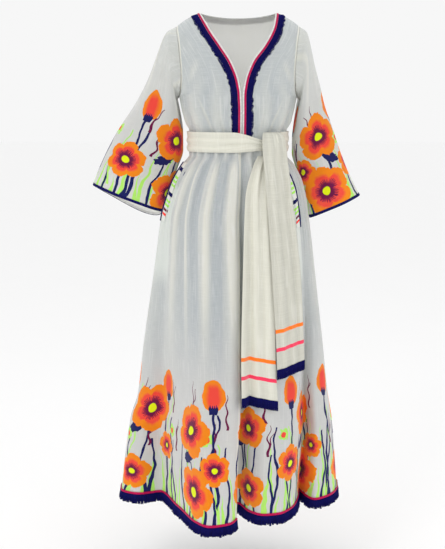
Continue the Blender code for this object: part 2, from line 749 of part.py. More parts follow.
# Sash tails, from the knot down: left and right edges, how far each stands off the skirt or band
# beneath it, and how deep its folds are.
TAILS = {
    "sash_tail_front": Table(
        ("level", "left", "right", "stand", "fold"),
        [
            (-1.008, 0.0090, 0.1060, 0.0050, 0.0030),
            (-0.903, 0.0075, 0.1000, 0.0050, 0.0035),
            (-0.700, 0.0115, 0.0960, 0.0050, 0.0040),
            (-0.568, 0.0150, 0.0920, 0.0050, 0.0050),
            (-0.480, 0.0190, 0.0890, 0.0050, 0.0060),
            (-0.449, 0.0250, 0.0880, 0.0050, 0.0060),
            (-0.420, 0.0340, 0.0880, 0.0050, 0.0050),
            (-0.395, 0.0430, 0.0920, 0.0040, 0.0020),
            (-0.3778, 0.0520, 0.1000, 0.0000, 0.0000),
        ],
    ),
    "sash_tail_back": Table(
        ("level", "left", "right", "stand", "fold"),
        [
            (-0.940, 0.1035, 0.1800, 0.0090, 0.0030),
            (-0.878, 0.1010, 0.1770, 0.0090, 0.0040),
            (-0.705, 0.0900, 0.1680, 0.0100, 0.0045),
            (-0.598, 0.0830, 0.1570, 0.0110, 0.0045),
            (-0.493, 0.0750, 0.1440, 0.0125, 0.0040),
            (-0.430, 0.0700, 0.1370, 0.0130, 0.0030),
            (-0.395, 0.0670, 0.1330, 0.0120, 0.0010),
            (-0.370, 0.0650, 0.1310, 0.0040, 0.0000),
            (-0.345, 0.0640, 0.1285, 0.0000, 0.0000),
            (-0.328, 0.0640, 0.1235, 0.0000, 0.0000),
            (-0.319, 0.0650, 0.1165, 0.0000, 0.0000),
            (-0.3150, 0.0680, 0.1080, 0.0000, 0.0000),
        ],
    ),
}
TAIL_TILT = {"sash_tail_front": 0.018, "sash_tail_back": -0.014}
TAIL_FOLDS = {"sash_tail_front": (2.5, 0.4), "sash_tail_back": (3, 1.2)}


def body_front(x, level):
    """The foremost y of the skirt, or of the knotted band above it, near a point."""
    turn = np.concatenate([np.arange(-9, 88, 1.0), np.arange(322, 363, 1.0)])
    near = skirt_point(turn, min(level, -0.382))
    close = np.abs(near[:, 0] - x) < 0.024
    front = near[close, 1].min() if close.any() else 0.0
    if level > -0.392:
        bulge = KNOT.at(level, "bulge") if level > KNOT.keys[0] else 0.0
        rise = KNOT_RISE + 1.12 * bulge + CLOTH / 2 + 0.0009
        sine = np.clip(x / (SKIRT.at(WAIST, "width") + rise), -0.97, 0.97)
        waist = -(SKIRT.at(WAIST, "front") + rise) * np.sqrt(1 - sine**2)
        front = waist if level > -0.380 else min(front, waist)
    return front


def tail_grid(name):
    table = TAILS[name]
    count, phase = TAIL_FOLDS[name]
    bottom, top = table.keys[0], table.keys[-1]
    rows = np.array([-0.3150, -0.3175, -0.322, -0.330, -0.344, -0.356, -0.368, -0.3778, -0.395, -0.420])
    rows = np.concatenate([rows, [-0.449, -0.485, -0.530, -0.600, -0.690, -0.800, -0.900, -1.008]])
    rows = rows[(rows > bottom + 0.03) & (rows < top + 1e-6)]
    rows = np.concatenate([rows, [bottom]])
    level, share = np.meshgrid(rows, np.linspace(0, 1, 8), indexing="ij")
    x = table.at(level, "left") + (table.at(level, "right") - table.at(level, "left")) * share
    y = np.array([[body_front(a, b) for a, b in zip(xs, levels)] for xs, levels in zip(x, level)])
    y -= table.at(level, "stand")
    hung = rows < -0.36
    for _ in range(60):
        lifted = (y[:-2] + y[2:]) / 2
        y[1:-1] = np.where(hung[1:-1, None], np.minimum(y[1:-1], lifted), y[1:-1])
    y -= table.at(level, "fold") * (1 + np.cos(2 * np.pi * count * share + phase)) / 2
    level = level - TAIL_TILT[name] * share * (top - level) / (top - bottom)
    return np.stack([x, y, level], axis=-1)


def tail_fringe(name, grid, material):
    """Ten locks along a tail's end."""
    cells = 20
    spot = np.linspace(0, grid.shape[1] - 1, cells)
    columns = np.arange(grid.shape[1])
    normals = grid_normals(grid)[-1]
    line = np.stack([np.interp(spot, columns, grid[-1, :, k]) for k in range(3)], axis=-1)
    square = unit(np.stack([np.interp(spot, columns, normals[:, k]) for k in range(3)], axis=-1))
    return fringe(name, line, square, SEAM_GAP + 0.0004, 0.0070, 0.0205, material)


def clear():
    for made in list(bpy.data.objects):
        bpy.data.objects.remove(made)


def build():
    clear()
    voile = finish("ivory voile", (0.80, 0.80, 0.75), 0.85)
    sash = finish("ivory sash cotton", (0.78, 0.77, 0.70), 0.80)
    white = finish("white edging", (0.86, 0.86, 0.82), 0.75)
    magenta = finish("magenta piping", (0.45, 0.00, 0.10), 0.60)
    navy = finish("navy fringe", (0.005, 0.006, 0.09), 0.80)

    bodice = []
    for name, grid in (
        ("bodice_front_left", front_panel(1)),
        ("bodice_front_right", front_panel(-1)),
        ("bodice_back", back_panel()),
    ):
        bodice.append(wall(name, grid, voile, normals=bodice_normals(grid)))
    for (name, begins, ends, cells), material in zip(NECK_TRIMS, (white, magenta, navy)):
        neck_trim(name, begins, ends, cells, bodice, material)

    for name, hand, table in (("right", -1, RIGHT_SLEEVE), ("left", 1, LEFT_SLEEVE)):
        grid = sleeve(hand, table)
        wall("sleeve_" + name, grid, voile, closed=True)
        cuff_binding("cuff_binding_" + name, grid, navy)

    panels, grids = {}, {}
    for name, first, last in SKIRT_PANELS:
        grids[name] = skirt_panel(first, last)
        panels[name] = wall(name, grids[name][0], voile, normals=grids[name][1])
    hem_piping("hem_piping", list(panels.values()), magenta)
    hem_fringe("hem_fringe", navy)

    for hand, toward, path in POCKETS:
        front = "skirt_front_" + hand
        under = [panels[front]]
        pocket_strip("pocket_binding_" + hand, path, toward, 0.0, POCKET_BINDING, 1, under, navy)
        begins = POCKET_BINDING + SEAM_GAP
        ends = begins + POCKET_FACING
        pocket_strip("pocket_facing_" + hand, path, toward, begins, ends, 3, under, voile)
        start = {panel: first for panel, first, last in SKIRT_PANELS}[front]
        first, last = (column - start for column in POCKET_BAG[hand])
        pocket_bag("pocket_bag_" + hand, *grids[front], first, last, voile)

    wall("sash_band", sash_band(), sash, SASH_CLOTH, closed=True)
    sash_knot("sash_knot", sash)
    for name in TAILS:
        grid = tail_grid(name)
        wall(name, grid, sash)
        tail_fringe(name.replace("sash_tail", "tail_fringe"), grid, navy)


build()
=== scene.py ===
"""The looks of a long ivory cotton dress: open V neck, bell sleeves, gathered skirt and a tied sash.

Metres, +Z up. The front of the dress faces -Y and the wearer's left is +X. The origin is on the
shoulder line. A turn is an angle round the body, 0 at the front and 90 at the wearer's left. A level
is a height, 0 at the shoulder line. The file follows the dress as it is sewn together.
"""

import math
import random

import bmesh
import bpy
import numpy as np
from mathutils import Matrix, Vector
from mathutils.bvhtree import BVHTree


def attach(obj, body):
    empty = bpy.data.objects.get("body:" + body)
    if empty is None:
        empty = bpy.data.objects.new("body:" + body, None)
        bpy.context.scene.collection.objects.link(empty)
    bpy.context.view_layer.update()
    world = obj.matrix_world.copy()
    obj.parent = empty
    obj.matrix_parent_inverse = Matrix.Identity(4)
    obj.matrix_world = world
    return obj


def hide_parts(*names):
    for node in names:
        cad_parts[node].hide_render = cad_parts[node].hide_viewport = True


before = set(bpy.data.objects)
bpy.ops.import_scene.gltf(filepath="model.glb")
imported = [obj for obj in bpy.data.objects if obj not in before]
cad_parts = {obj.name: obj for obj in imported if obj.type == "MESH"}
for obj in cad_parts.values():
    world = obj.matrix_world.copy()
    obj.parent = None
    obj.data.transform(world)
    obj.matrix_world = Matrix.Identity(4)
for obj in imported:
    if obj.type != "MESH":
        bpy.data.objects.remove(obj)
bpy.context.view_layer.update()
bpy.ops.object.select_all(action="DESELECT")
chance = random.Random(7)


# Bodice
# Two fronts and a back of cotton voile, cut with the grain down the body, gathered into the waist
# seam and joined at the shoulders and sides. The fronts cross nowhere: they meet edge to edge.
WAIST = -0.345
UNDERARM = -0.2222
SEAM_GAP = 0.0004
VOILE = 0.0007
# The first colour is the voile where one layer shows, and the painted shade in the valleys of its folds; the
# second is the painted light on the crests of its folds, and the voile where it is doubled.
THIN_AND_SHADED_VOILE = (0.405, 0.440, 0.455)
LIT_AND_DOUBLED_VOILE = (0.765, 0.760, 0.650)
THREAD_SPACING = 0.0011
ALLOWANCE = 0.009


class Table:
    """Rows of sizes under named columns, read smoothly between its rows by its first column."""

    def __init__(self, columns, rows):
        values = np.array(sorted(rows), float)
        self.keys = values[:, 0]
        self.values = {name: values[:, i] for i, name in enumerate(columns)}
        self.slopes = {name: self.slope(column) for name, column in self.values.items()}

    def slope(self, column):
        """The slope at each row, flat where the column turns back, so that nothing overshoots."""
        step = np.diff(column) / np.diff(self.keys)
        before, after = step[:-1], step[1:]
        same_way = before * after > 0
        inner = np.where(same_way, 2 * before * after / np.where(same_way, before + after, 1), 0)
        return np.concatenate([[step[0]], inner, [step[-1]]])

    def at(self, key, name):
        key = np.clip(key, self.keys[0], self.keys[-1])
        row = np.clip(np.searchsorted(self.keys, key) - 1, 0, len(self.keys) - 2)
        width = self.keys[row + 1] - self.keys[row]
        t = (key - self.keys[row]) / width
        low, high = self.values[name][row], self.values[name][row + 1]
        leave, arrive = self.slopes[name][row] * width, self.slopes[name][row + 1] * width
        rise = t * t * (3 - 2 * t)
        ends = leave * t * (1 - t) ** 2 - arrive * t * t * (1 - t)
        return low * (1 - rise) + high * rise + ends


def smooth(x, start, end):
    t = np.clip((x - start) / (end - start), 0, 1)
    return t * t * (3 - 2 * t)


def unit(vectors):
    return vectors / np.maximum(np.linalg.norm(vectors, axis=-1, keepdims=True), 1e-12)


def grid_normals(grid, closed=False):
    """The unit normal at each point of a grid of rows by columns."""
    if closed:
        across = np.roll(grid, -1, axis=1) - np.roll(grid, 1, axis=1)
    else:
        across = np.gradient(grid, axis=1)
    return unit(np.cross(across, np.gradient(grid, axis=0)))


def spaced(values, step):
    """Levels from the first to the last value, about a step apart."""
    return np.linspace(values[0], values[-1], int(abs(values[-1] - values[0]) / step) + 1)


def creased(grid, normals, marks, cut):
    """Moves a cloth along its normals by soft creases, and says how much of a ridge each point is. A
    crease has its two ends and its half width in the flat cloth's metres, and its height, which is
    negative for a trough."""
    ridge = np.zeros(grid.shape[:2])
    for start, end, half_width, height in marks:
        start, end = np.array(start), np.array(end)
        run = end - start
        along = np.clip((cut - start) @ run / (run @ run), -0.15, 1.15)
        off = np.linalg.norm(cut - start - along[..., None] * run, axis=-1)
        fade = np.sin(np.pi * np.clip((along + 0.15) / 1.3, 0, 1)) ** 0.7
        push = height * fade * np.exp(-((off / half_width) ** 2))
        grid = grid + normals * push[..., None]
        ridge = np.maximum(ridge, push / 0.0035)
    return grid, ridge


def placed(name, mesh, material, facts):
    """A smooth object in its material. facts are named numbers at each point that the finish reads."""
    for fact, values in facts.items():
        held = mesh.attributes.new(fact, "FLOAT", "POINT")
        held.data.foreach_set("value", np.asarray(values, np.float32).ravel())
    mesh.materials.append(material)
    mesh.shade_smooth()
    made = bpy.data.objects.new(name, mesh)
    bpy.context.scene.collection.objects.link(made)
    return made


def cloth(name, grid, cut, material, outward, closed=False, facts=None, thick=VOILE, inside=None):
    """A thin shell of cloth on a grid of points. cut is each point's place on the flat cloth, and
    inside is the finish of its other side."""
    rows, columns = grid.shape[:2]
    faces, spots = [], []
    for i in range(rows - 1):
        for j in range(columns if closed else columns - 1):
            k = (j + 1) % columns
            faces.append([i * columns + j, i * columns + k, (i + 1) * columns + k, (i + 1) * columns + j])
            spots.append([(i, j), (i, j + 1), (i + 1, j + 1), (i + 1, j)])
    first = np.cross(grid[0, 1] - grid[0, 0], grid[1, 1] - grid[0, 0])
    if first @ np.array(outward) < 0:
        faces = [face[::-1] for face in faces]
        spots = [spot[::-1] for spot in spots]
    mesh = bpy.data.meshes.new(name)
    mesh.from_pydata(grid.reshape(-1, 3).tolist(), [], faces)
    flat = mesh.uv_layers.new(name="cut")
    corners = np.array(spots).reshape(-1, 2)
    flat.data.foreach_set("uv", cut[corners[:, 0], corners[:, 1]].astype(np.float32).ravel())
    made = placed(name, mesh, material, facts or {})
    if thick:
        shell = made.modifiers.new("cloth thickness", "SOLIDIFY")
        shell.thickness = thick
        shell.offset = 0
        if inside:
            mesh.materials.append(inside)
            shell.material_offset = 1
    return made


def sewn_in(made, slot, *nodes):
    """The piece stands for the plain solid of its name, or for the nodes given, and rides with the dress."""
    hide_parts(*(nodes or [made.name.removesuffix("_cloth")]))
    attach(made, "root")
    return made


class Wire:
    """A value on its way through a finish. Sums written with it become Math nodes."""

    def __init__(self, paint, socket):
        self.paint = paint
        self.socket = socket

    def sum(self, operation, *values):
        return self.paint.node("ShaderNodeMath", {"operation": operation}, dict(enumerate(values)))

    def __add__(self, other):
        return self.sum("ADD", self, other)

    def __sub__(self, other):
        return self.sum("SUBTRACT", self, other)

    def __rsub__(self, other):
        return self.sum("SUBTRACT", other, self)

    def __mul__(self, other):
        return self.sum("MULTIPLY", self, other)

    def __truediv__(self, other):
        return self.sum("DIVIDE", self, other)

    def __lt__(self, other):
        return self.sum("LESS_THAN", self, other)

    def __gt__(self, other):
        return self.sum("GREATER_THAN", self, other)

    __radd__ = __add__
    __rmul__ = __mul__


class Paint:
    """A finish, built up node by node on one Principled shader."""

    def __init__(self, name, roughness, sheen=0.0, gloss=0.15, through=0.0):
        self.material = bpy.data.materials.new(name)
        self.material.use_nodes = True
        self.nodes = self.material.node_tree.nodes
        self.links = self.material.node_tree.links
        self.shader = self.nodes["Principled BSDF"]
        self.shader.inputs["Roughness"].default_value = roughness
        self.shader.inputs["Specular IOR Level"].default_value = gloss
        self.shader.inputs["Sheen Weight"].default_value = sheen
        self.shader.inputs["Sheen Roughness"].default_value = 0.6
        self.shader.inputs["Subsurface Weight"].default_value = through
        self.shader.inputs["Subsurface Radius"].default_value = (1.0, 1.0, 0.9)
        self.shader.inputs["Subsurface Scale"].default_value = 0.004

    def node(self, kind, settings=None, sockets=None, out=0):
        """Adds a node: its settings first, then the values or links of its sockets."""
        made = self.nodes.new(kind)
        for name, value in (settings or {}).items():
            if name == "stops":
                self.stops(made.color_ramp, value)
            else:
                setattr(made, name, value)
        for key, value in (sockets or {}).items():
            if isinstance(value, Wire):
                self.links.new(value.socket, made.inputs[key])
            else:
                made.inputs[key].default_value = value
        return Wire(self, made.outputs[out])

    def stops(self, ramp, colours):
        for place, _ in colours[len(ramp.elements) :]:
            ramp.elements.new(place)
        for held, (place, colour) in zip(ramp.elements, colours):
            held.position = place
            held.color = (*colour, 1)

    def function(self, operation, value, other=0.0):
        return value.sum(operation, value, other)

    def mix(self, share, below, above):
        """One colour over another by a share."""
        pair = [(*c, 1.0) if isinstance(c, tuple) else c for c in (below, above)]
        settings = {"data_type": "RGBA", "clamp_factor": True}
        return self.node("ShaderNodeMix", settings, {0: share, 6: pair[0], 7: pair[1]}, 2)

    def ramp(self, value, stops):
        return self.node("ShaderNodeValToRGB", {"stops": stops}, {0: value})

    def ease(self, value, low, high):
        """0 below low, 1 above high, and smooth between them."""
        sockets = {"Value": value, "From Min": low, "From Max": high}
        return self.node("ShaderNodeMapRange", {"interpolation_type": "SMOOTHSTEP"}, sockets)

    def fact(self, name):
        return self.node("ShaderNodeAttribute", {"attribute_name": name}, {}, 2)

    def flat(self):
        """The place on the flat cloth: across, up and both together."""
        place = self.node("ShaderNodeUVMap", {"uv_map": "cut"})
        across = self.node("ShaderNodeSeparateXYZ", {}, {0: place}, 0)
        up = self.node("ShaderNodeSeparateXYZ", {}, {0: place}, 1)
        return across, up, place

    def noise(self, vector, scale, detail=2.0, stretch=(1, 1, 1)):
        place = self.node("ShaderNodeMapping", {}, {"Vector": vector, "Scale": stretch})
        return self.node("ShaderNodeTexNoise", {}, {"Vector": place, "Scale": scale, "Detail": detail})

    def wear(self, colour, height=None, strength=0.3, distance=0.0004):
        """Puts a colour on the shader, and a height as its bump."""
        self.links.new(colour.socket, self.shader.inputs["Base Color"])
        if height is not None:
            sockets = {"Height": height, "Strength": strength, "Distance": distance}
            bump = self.node("ShaderNodeBump", {}, sockets)
            self.links.new(bump.socket, self.shader.inputs["Normal"])
        return self.material


def woven(paint, place, spacing=THREAD_SPACING):
    """A plain weave: uneven threads across and along, with a slub here and there."""
    across = paint.noise(place, 1 / spacing, 1.0, (1, 0.03, 1))
    along = paint.noise(place, 1 / spacing, 1.0, (0.03, 1, 1))
    slub = paint.noise(place, 0.25 / spacing, 0.0, (1, 0.06, 1))
    return across + along + paint.ease(slub, 0.62, 0.75) * 0.5


def stitches(paint, off, along, away, pitch=0.0032):
    """A row of stitches at a distance from an edge: 1 on the thread."""
    line = paint.function("ABSOLUTE", off - away) < 0.0004
    run = paint.function("FRACT", along / pitch) < 0.62
    return line * run


def voile(name, printed=None, cool=THIN_AND_SHADED_VOILE):
    """Ivory voile: cool and thin where one layer shows, warmer where it is doubled, with painted light on
    the crests of folds and painted shade in their valleys.
    """
    paint = Paint(name, 0.85, 0.10, through=0.6)
    across, up, place = paint.flat()
    thread = woven(paint, place)
    edge = paint.fact("edge")
    doubled = edge < ALLOWANCE
    # The fold fact paints light on the crests of folds and shade in their valleys; the noise is an uneven
    # tone, and doubled cloth is warmer.
    tone_and_light = paint.fact("fold") + paint.noise(place, 9.0, 3.0, (1.0, 0.3, 1.0)) * 0.44 - 0.17
    tone_and_light = tone_and_light + doubled * 0.75
    base = paint.mix(tone_and_light, cool, LIT_AND_DOUBLED_VOILE)
    base = paint.mix(paint.ease(thread, 0.7, 1.5) * 0.22, base, (0.95, 0.95, 0.92))
    sewn = stitches(paint, edge, up, ALLOWANCE - 0.0012)
    base = paint.mix(sewn * 0.5, base, (0.90, 0.89, 0.84))
    if printed:
        base = printed(paint, base, across, up, place)
    wrinkle = paint.noise(place, 34.0, 3.0, (1.0, 0.45, 1.0))
    height = thread * 0.5 + doubled * 1.2 - sewn * 1.5 + wrinkle * 5.0
    return paint.wear(base, height, 0.3)


# Bodice sections. level: height at the neck side; drop: how much lower the armhole side lies;
# width: half the width; front and back: depths from the side line; arm_front and arm_back: the
# turn at which the cloth ends at the armhole, or 90 at the side seam below it.
BODICE = Table(
    ("level", "drop", "width", "front", "back", "arm_front", "arm_back"),
    [
        (-0.3450, 0.000, 0.1315, 0.100, 0.088, 90.0, 90.0),
        (-0.3120, 0.000, 0.1315, 0.100, 0.088, 90.0, 90.0),
        (-0.2960, 0.000, 0.1390, 0.109, 0.096, 90.0, 90.0),
        (-0.2650, 0.000, 0.1490, 0.121, 0.104, 90.0, 90.0),
        (-0.2222, 0.000, 0.1590, 0.130, 0.110, 90.0, 90.0),
        (-0.2120, 0.001, 0.1610, 0.131, 0.111, 79.0, 79.0),
        (-0.1950, 0.002, 0.1640, 0.131, 0.112, 71.0, 71.0),
        (-0.1650, 0.006, 0.1680, 0.127, 0.113, 65.5, 64.0),
        (-0.1300, 0.012, 0.1710, 0.117, 0.111, 64.0, 61.5),
        (-0.0900, 0.018, 0.1745, 0.099, 0.104, 64.2, 61.0),
        (-0.0550, 0.024, 0.1765, 0.080, 0.091, 65.0, 62.0),
        (-0.0280, 0.029, 0.1780, 0.060, 0.071, 66.3, 64.5),
        (-0.0100, 0.032, 0.1790, 0.037, 0.046, 67.3, 66.8),
        (-0.0025, 0.033, 0.1790, 0.018, 0.023, 67.5, 67.5),
        (0.0000, 0.033, 0.1790, 0.000, 0.000, 67.5, 67.5),
    ],
)

# The front edge, from the waist up the V neck: half its width, and how far its middle lies to the
# wearer's left, because the tied sash pulls the fronts that way.
FRONT_EDGE = Table(
    ("level", "half", "shift"),
    [
        (-0.345, 0.0013, 0.0100),
        (-0.256, 0.0014, 0.0102),
        (-0.217, 0.0022, 0.0092),
        (-0.178, 0.0083, 0.0090),
        (-0.131, 0.0263, 0.0087),
        (-0.086, 0.0570, 0.0105),
        (-0.045, 0.0820, 0.0080),
        (0.000, 0.1010, 0.0000),
    ],
)

NECK_HALF = 0.101
SHOULDER_TIP = 0.165
BACK_NECK_DROP = 0.010
BORDER = 0.036
# How far out along the back's top edge the neck reaches, where the armhole is 1.
NECK_SHARE = math.degrees(math.asin(NECK_HALF / BODICE.at(0.0, "width"))) / BODICE.at(0.0, "arm_back")

# Gathers each side of the waist seam. skirt_broad is the height of the folds that pairs of
# gathers run into.
WAVES = Table(
    ("level", "bodice", "skirt_fine", "skirt_broad"),
    [
        (-1.344, 0.0000, 0.0000, 0.0025),
        (-1.150, 0.0000, 0.0000, 0.0045),
        (-0.950, 0.0000, 0.0000, 0.0075),
        (-0.750, 0.0000, 0.0008, 0.0085),
        (-0.600, 0.0000, 0.0020, 0.0080),
        (-0.480, 0.0000, 0.0040, 0.0055),
        (-0.405, 0.0000, 0.0050, 0.0020),
        (-0.378, 0.0000, 0.0030, 0.0000),
        (-0.345, 0.0030, 0.0030, 0.0000),
        (-0.312, 0.0030, 0.0000, 0.0000),
        (-0.285, 0.0042, 0.0000, 0.0000),
        (-0.225, 0.0024, 0.0000, 0.0000),
        (-0.165, 0.0008, 0.0000, 0.0000),
        (-0.110, 0.0000, 0.0000, 0.0000),
        (0.000, 0.0000, 0.0000, 0.0000),
    ],
)

FRONT_WAVES = 3
BACK_WAVES = 5
# The height of the bodice's gathers where they are deepest.
GATHER_HEIGHT = 0.0042
# The front's columns beside its edge, which stay flat under the neck trims.
FLAT_COLUMNS = 11


def bodice_point(side, x, level, wave=0.0):
    """A point of the bodice: side -1 is the front, 1 the back; wave is the gathers' share there."""
    half_width = BODICE.at(level, "width")
    depth = BODICE.at(level, "front" if side < 0 else "back")
    sine = np.clip(x / half_width, -1, 1)
    across = np.clip((np.abs(x) - NECK_HALF) / (SHOULDER_TIP - NECK_HALF), 0, 1.1)
    push = WAVES.at(level, "bodice") * wave
    y = side * (depth + push) * np.sqrt(1 - sine**2)
    z = level - BODICE.at(level, "drop") * across**1.6
    return np.stack(np.broadcast_arrays(x + sine * push, y, z), axis=-1)


def armhole_x(side, level):
    turn = BODICE.at(level, "arm_front" if side < 0 else "arm_back")
    return BODICE.at(level, "width") * np.sin(np.radians(turn))


def front_edge_x(hand, level):
    return hand * FRONT_EDGE.at(level, "half") + FRONT_EDGE.at(level, "shift")


def bodice_rows():
    """Levels from the waist up, closer together towards the shoulder, where the cloth turns over."""
    low = spaced([-0.3448, -0.040], 0.0036)
    return np.concatenate([low[:-1], -0.040 * (1 - np.linspace(0, 1, 26)) ** 2])


def front_panel(hand):
    """A front's grid, hand 1 for the wearer's left, with its flat places and its facts."""
    levels = bodice_rows()
    shares = np.concatenate([np.linspace(-1, 0, FLAT_COLUMNS + 1)[:-1], np.linspace(0, 1, 73)])
    level, share = np.meshgrid(levels, shares, indexing="ij")
    half_width = BODICE.at(level, "width")
    start = np.arcsin(front_edge_x(hand, level) / half_width)
    end = hand * np.radians(BODICE.at(level, "arm_front"))
    gather_start = start + hand * BORDER / half_width / np.cos(start)
    turn = np.where(
        share < 0,
        start + (gather_start - start) * (1 + share),
        gather_start + (end - gather_start) * np.maximum(share, 0),
    )
    spread = np.maximum(share, 0) + 0.035 * np.sin(2 * np.pi * share) * (share > 0)
    wave = np.where(share < 0, -1, -np.cos(2 * np.pi * FRONT_WAVES * spread)) * smooth(share, -0.2, 0.15)
    grid = bodice_point(-1, half_width * np.sin(turn), level, wave)
    grid[:, -1, 1] -= SEAM_GAP * (levels <= UNDERARM)
    grid[-1, :, 1] -= SEAM_GAP
    arc = np.abs(turn - start) * half_width
    cut = np.stack([arc, level - WAIST], axis=-1)
    edge = np.abs(end - turn) * half_width
    # The crests of the gathers get a high fold fact, which paints light on them and shade between them.
    gathers = WAVES.at(level, "bodice") / GATHER_HEIGHT * (0.5 + 0.5 * wave)
    return grid, cut, {"edge": edge, "fold": np.clip(gathers, 0, 1)}


def back_level(row, share):
    """The back's top edge is scooped between the neck points; the rows below follow it a little."""
    scoop = np.clip(1 - (share / NECK_SHARE) ** 2, 0, 1) * BACK_NECK_DROP
    return row - scoop * np.clip(1 + row / 0.2, 0, 1) ** 2


def back_panel():
    """The back's grid, with its flat places and its facts."""
    row, share = np.meshgrid(bodice_rows(), np.linspace(-1, 1, 141), indexing="ij")
    level = back_level(row, share)
    end = np.radians(BODICE.at(level, "arm_back"))
    turn = share * end
    wave = -np.cos(np.pi * BACK_WAVES * (share + 1))
    half_width = BODICE.at(level, "width")
    grid = bodice_point(1, half_width * np.sin(turn), level, wave)
    grid[:, [0, -1], 1] += SEAM_GAP * (row[:, [0, -1]] <= UNDERARM)
    grid[-1, :, 1] += SEAM_GAP * (level[-1] > -0.0005)
    cut = np.stack([turn * half_width, level - WAIST], axis=-1)
    edge = (end - np.abs(turn)) * half_width
    # The crests of the gathers get a high fold fact, which paints light on them and shade between them.
    gathers = WAVES.at(level, "bodice") / GATHER_HEIGHT * (0.5 + 0.5 * wave)
    return grid, cut, {"edge": edge, "fold": np.clip(gathers, 0, 1)}


bodice_cloth = voile("bodice voile")
# The inner side of every cloth is painted far paler than its outside: painted light in the shaded inside of
# the dress.
lit_inner_side = voile("voile, inner side, painted light", cool=(0.900, 0.900, 0.870))
# Each crease: its two ends across and up the flat front, its half width, and its height.
FRONT_CREASES = (
    ((0.045, 0.012), (0.062, 0.110), 0.0050, 0.0022),
    ((0.058, 0.010), (0.098, 0.130), 0.0045, -0.0022),
    ((0.074, 0.012), (0.128, 0.125), 0.0042, 0.0024),
    ((0.092, 0.010), (0.146, 0.105), 0.0040, -0.0020),
    ((0.112, 0.012), (0.176, 0.090), 0.0040, 0.0022),
    ((0.050, 0.130), (0.078, 0.270), 0.0140, -0.0022),
    ((0.100, 0.215), (0.150, 0.170), 0.0100, 0.0016),
    ((0.140, 0.010), (0.190, 0.060), 0.0045, -0.0018),
)
BACK_CREASES = (
    ((-0.150, 0.020), (-0.080, 0.190), 0.0100, 0.0030),
    ((-0.090, 0.015), (-0.045, 0.150), 0.0090, -0.0024),
    ((-0.010, 0.010), (0.012, 0.160), 0.0110, 0.0026),
    ((0.060, 0.020), (0.088, 0.180), 0.0090, -0.0026),
    ((0.120, 0.015), (0.165, 0.120), 0.0090, 0.0028),
)


def bodice_piece(name, panel, turned, creases, flat_columns, away):
    """A bodice panel, creased but for its sewn edges and its first columns. turned is -1 where the
    grid's own normals point into the body."""
    grid, cut, facts = panel
    folded, ridge = creased(grid, turned * grid_normals(grid), creases, cut)
    grid[1:-1, flat_columns:-1] = folded[1:-1, flat_columns:-1]
    # The fold fact: painted light on the crests of the gathers and creases, painted shade between them.
    facts["fold"] = np.maximum(facts["fold"] * 0.35, ridge * 0.6)
    made = cloth(name + "_cloth", grid, cut, bodice_cloth, away, facts=facts, inside=lit_inner_side)
    return sewn_in(made, "ivory_voile")


bodice = [
    bodice_piece("bodice_front_left", front_panel(1), -1, FRONT_CREASES, FLAT_COLUMNS + 1, (0, -1, 0)),
    bodice_piece("bodice_front_right", front_panel(-1), 1, FRONT_CREASES, FLAT_COLUMNS + 1, (0, -1, 0)),
    bodice_piece("bodice_back", back_panel(), 1, BACK_CREASES, 1, (-1, 0, 0)),
]


# Neck trims
# A white bias strip, a magenta piping and a navy brush fringe, each one long strip sewn flat on the
# bodice: up the right front from the waist, round the back of the neck and down the left front.
# Each rolled trim: how far out from the neck's edge it begins and ends, and half its height.
NECK_TRIMS = (("neck_edging", 0.0002, 0.0038, 0.0007), ("neck_piping", 0.0042, 0.0092, 0.0013))
NECK_BAND = (0.0096, 0.0298)
# How many of the band's columns its woven heading covers. The threads run on to the last one.
BAND_COLUMNS = 7
HEADING = 5
THREAD_POINTS = 4
THREAD_LENGTH = 0.02
TRIM_FOOT = -0.340
TRIM_STEP = 0.0035
LAY = 0.0005
LAY_REACH = 0.03
NAVY = (0.0035, 0.0035, 0.100)
MAGENTA = (0.60, 0.004, 0.095)
WHITE = (0.87, 0.87, 0.84)


def surface_normals(side, x, level):
    step = 0.0004
    level = np.minimum(level, -step)
    across = bodice_point(side, x + step, level) - bodice_point(side, x - step, level)
    down = bodice_point(side, x, level - step) - bodice_point(side, x, level + step)
    return unit(np.cross(across, down) * side)


def neckline():
    """Points and normals all along the neckline: up the right front, round the back, down the left."""
    low = spaced([TRIM_FOOT, -0.030], TRIM_STEP)[:-1]
    rows = np.concatenate([low, -0.030 * (1 - np.linspace(0, 0.97, 16)) ** 1.6])
    share = np.sin(np.linspace(-1, 1, 61) * np.pi / 2) * NECK_SHARE
    level = back_level(0.0, share)
    behind = BODICE.at(level, "width") * np.sin(share * np.radians(BODICE.at(level, "arm_back")))
    parts = (
        (-1, front_edge_x(-1, rows), rows),
        (1, behind, level),
        (-1, front_edge_x(1, rows)[::-1], rows[::-1]),
    )
    points = np.concatenate([bodice_point(*part) for part in parts])
    normals = np.concatenate([surface_normals(*part) for part in parts])
    for _ in range(40):
        normals[1:-1] = unit(normals[:-2] + 2 * normals[1:-1] + normals[2:])
    outwards = unit(np.cross(normals, np.gradient(points, axis=0)))
    for _ in range(60):
        outwards[1:-1] = unit(outwards[:-2] + outwards[1:-1] + outwards[2:])
    return points, normals, outwards


def tree_of(made):
    """The cloth under a trim, to lay it on."""
    points, faces = [], []
    for one in made:
        first = len(points)
        points += [vertex.co for vertex in one.data.vertices]
        faces += [[first + i for i in polygon.vertices] for polygon in one.data.polygons]
    return BVHTree.FromPolygons(points, faces)


def laid(tree, grid, normals, reach):
    """Drops points onto the cloth along their normals, from no further off than reach."""
    low = grid.copy()
    for index in np.ndindex(grid.shape[:-1]):
        normal = Vector(normals[index])
        hit = tree.ray_cast(Vector(grid[index]) + normal * reach, -normal, 2 * reach)[0]
        if hit:
            low[index] = hit
    return low


def run_of(line):
    """How far along a line each of its points lies."""
    return np.concatenate([[0], np.cumsum(np.linalg.norm(np.diff(line, axis=0), axis=1))])


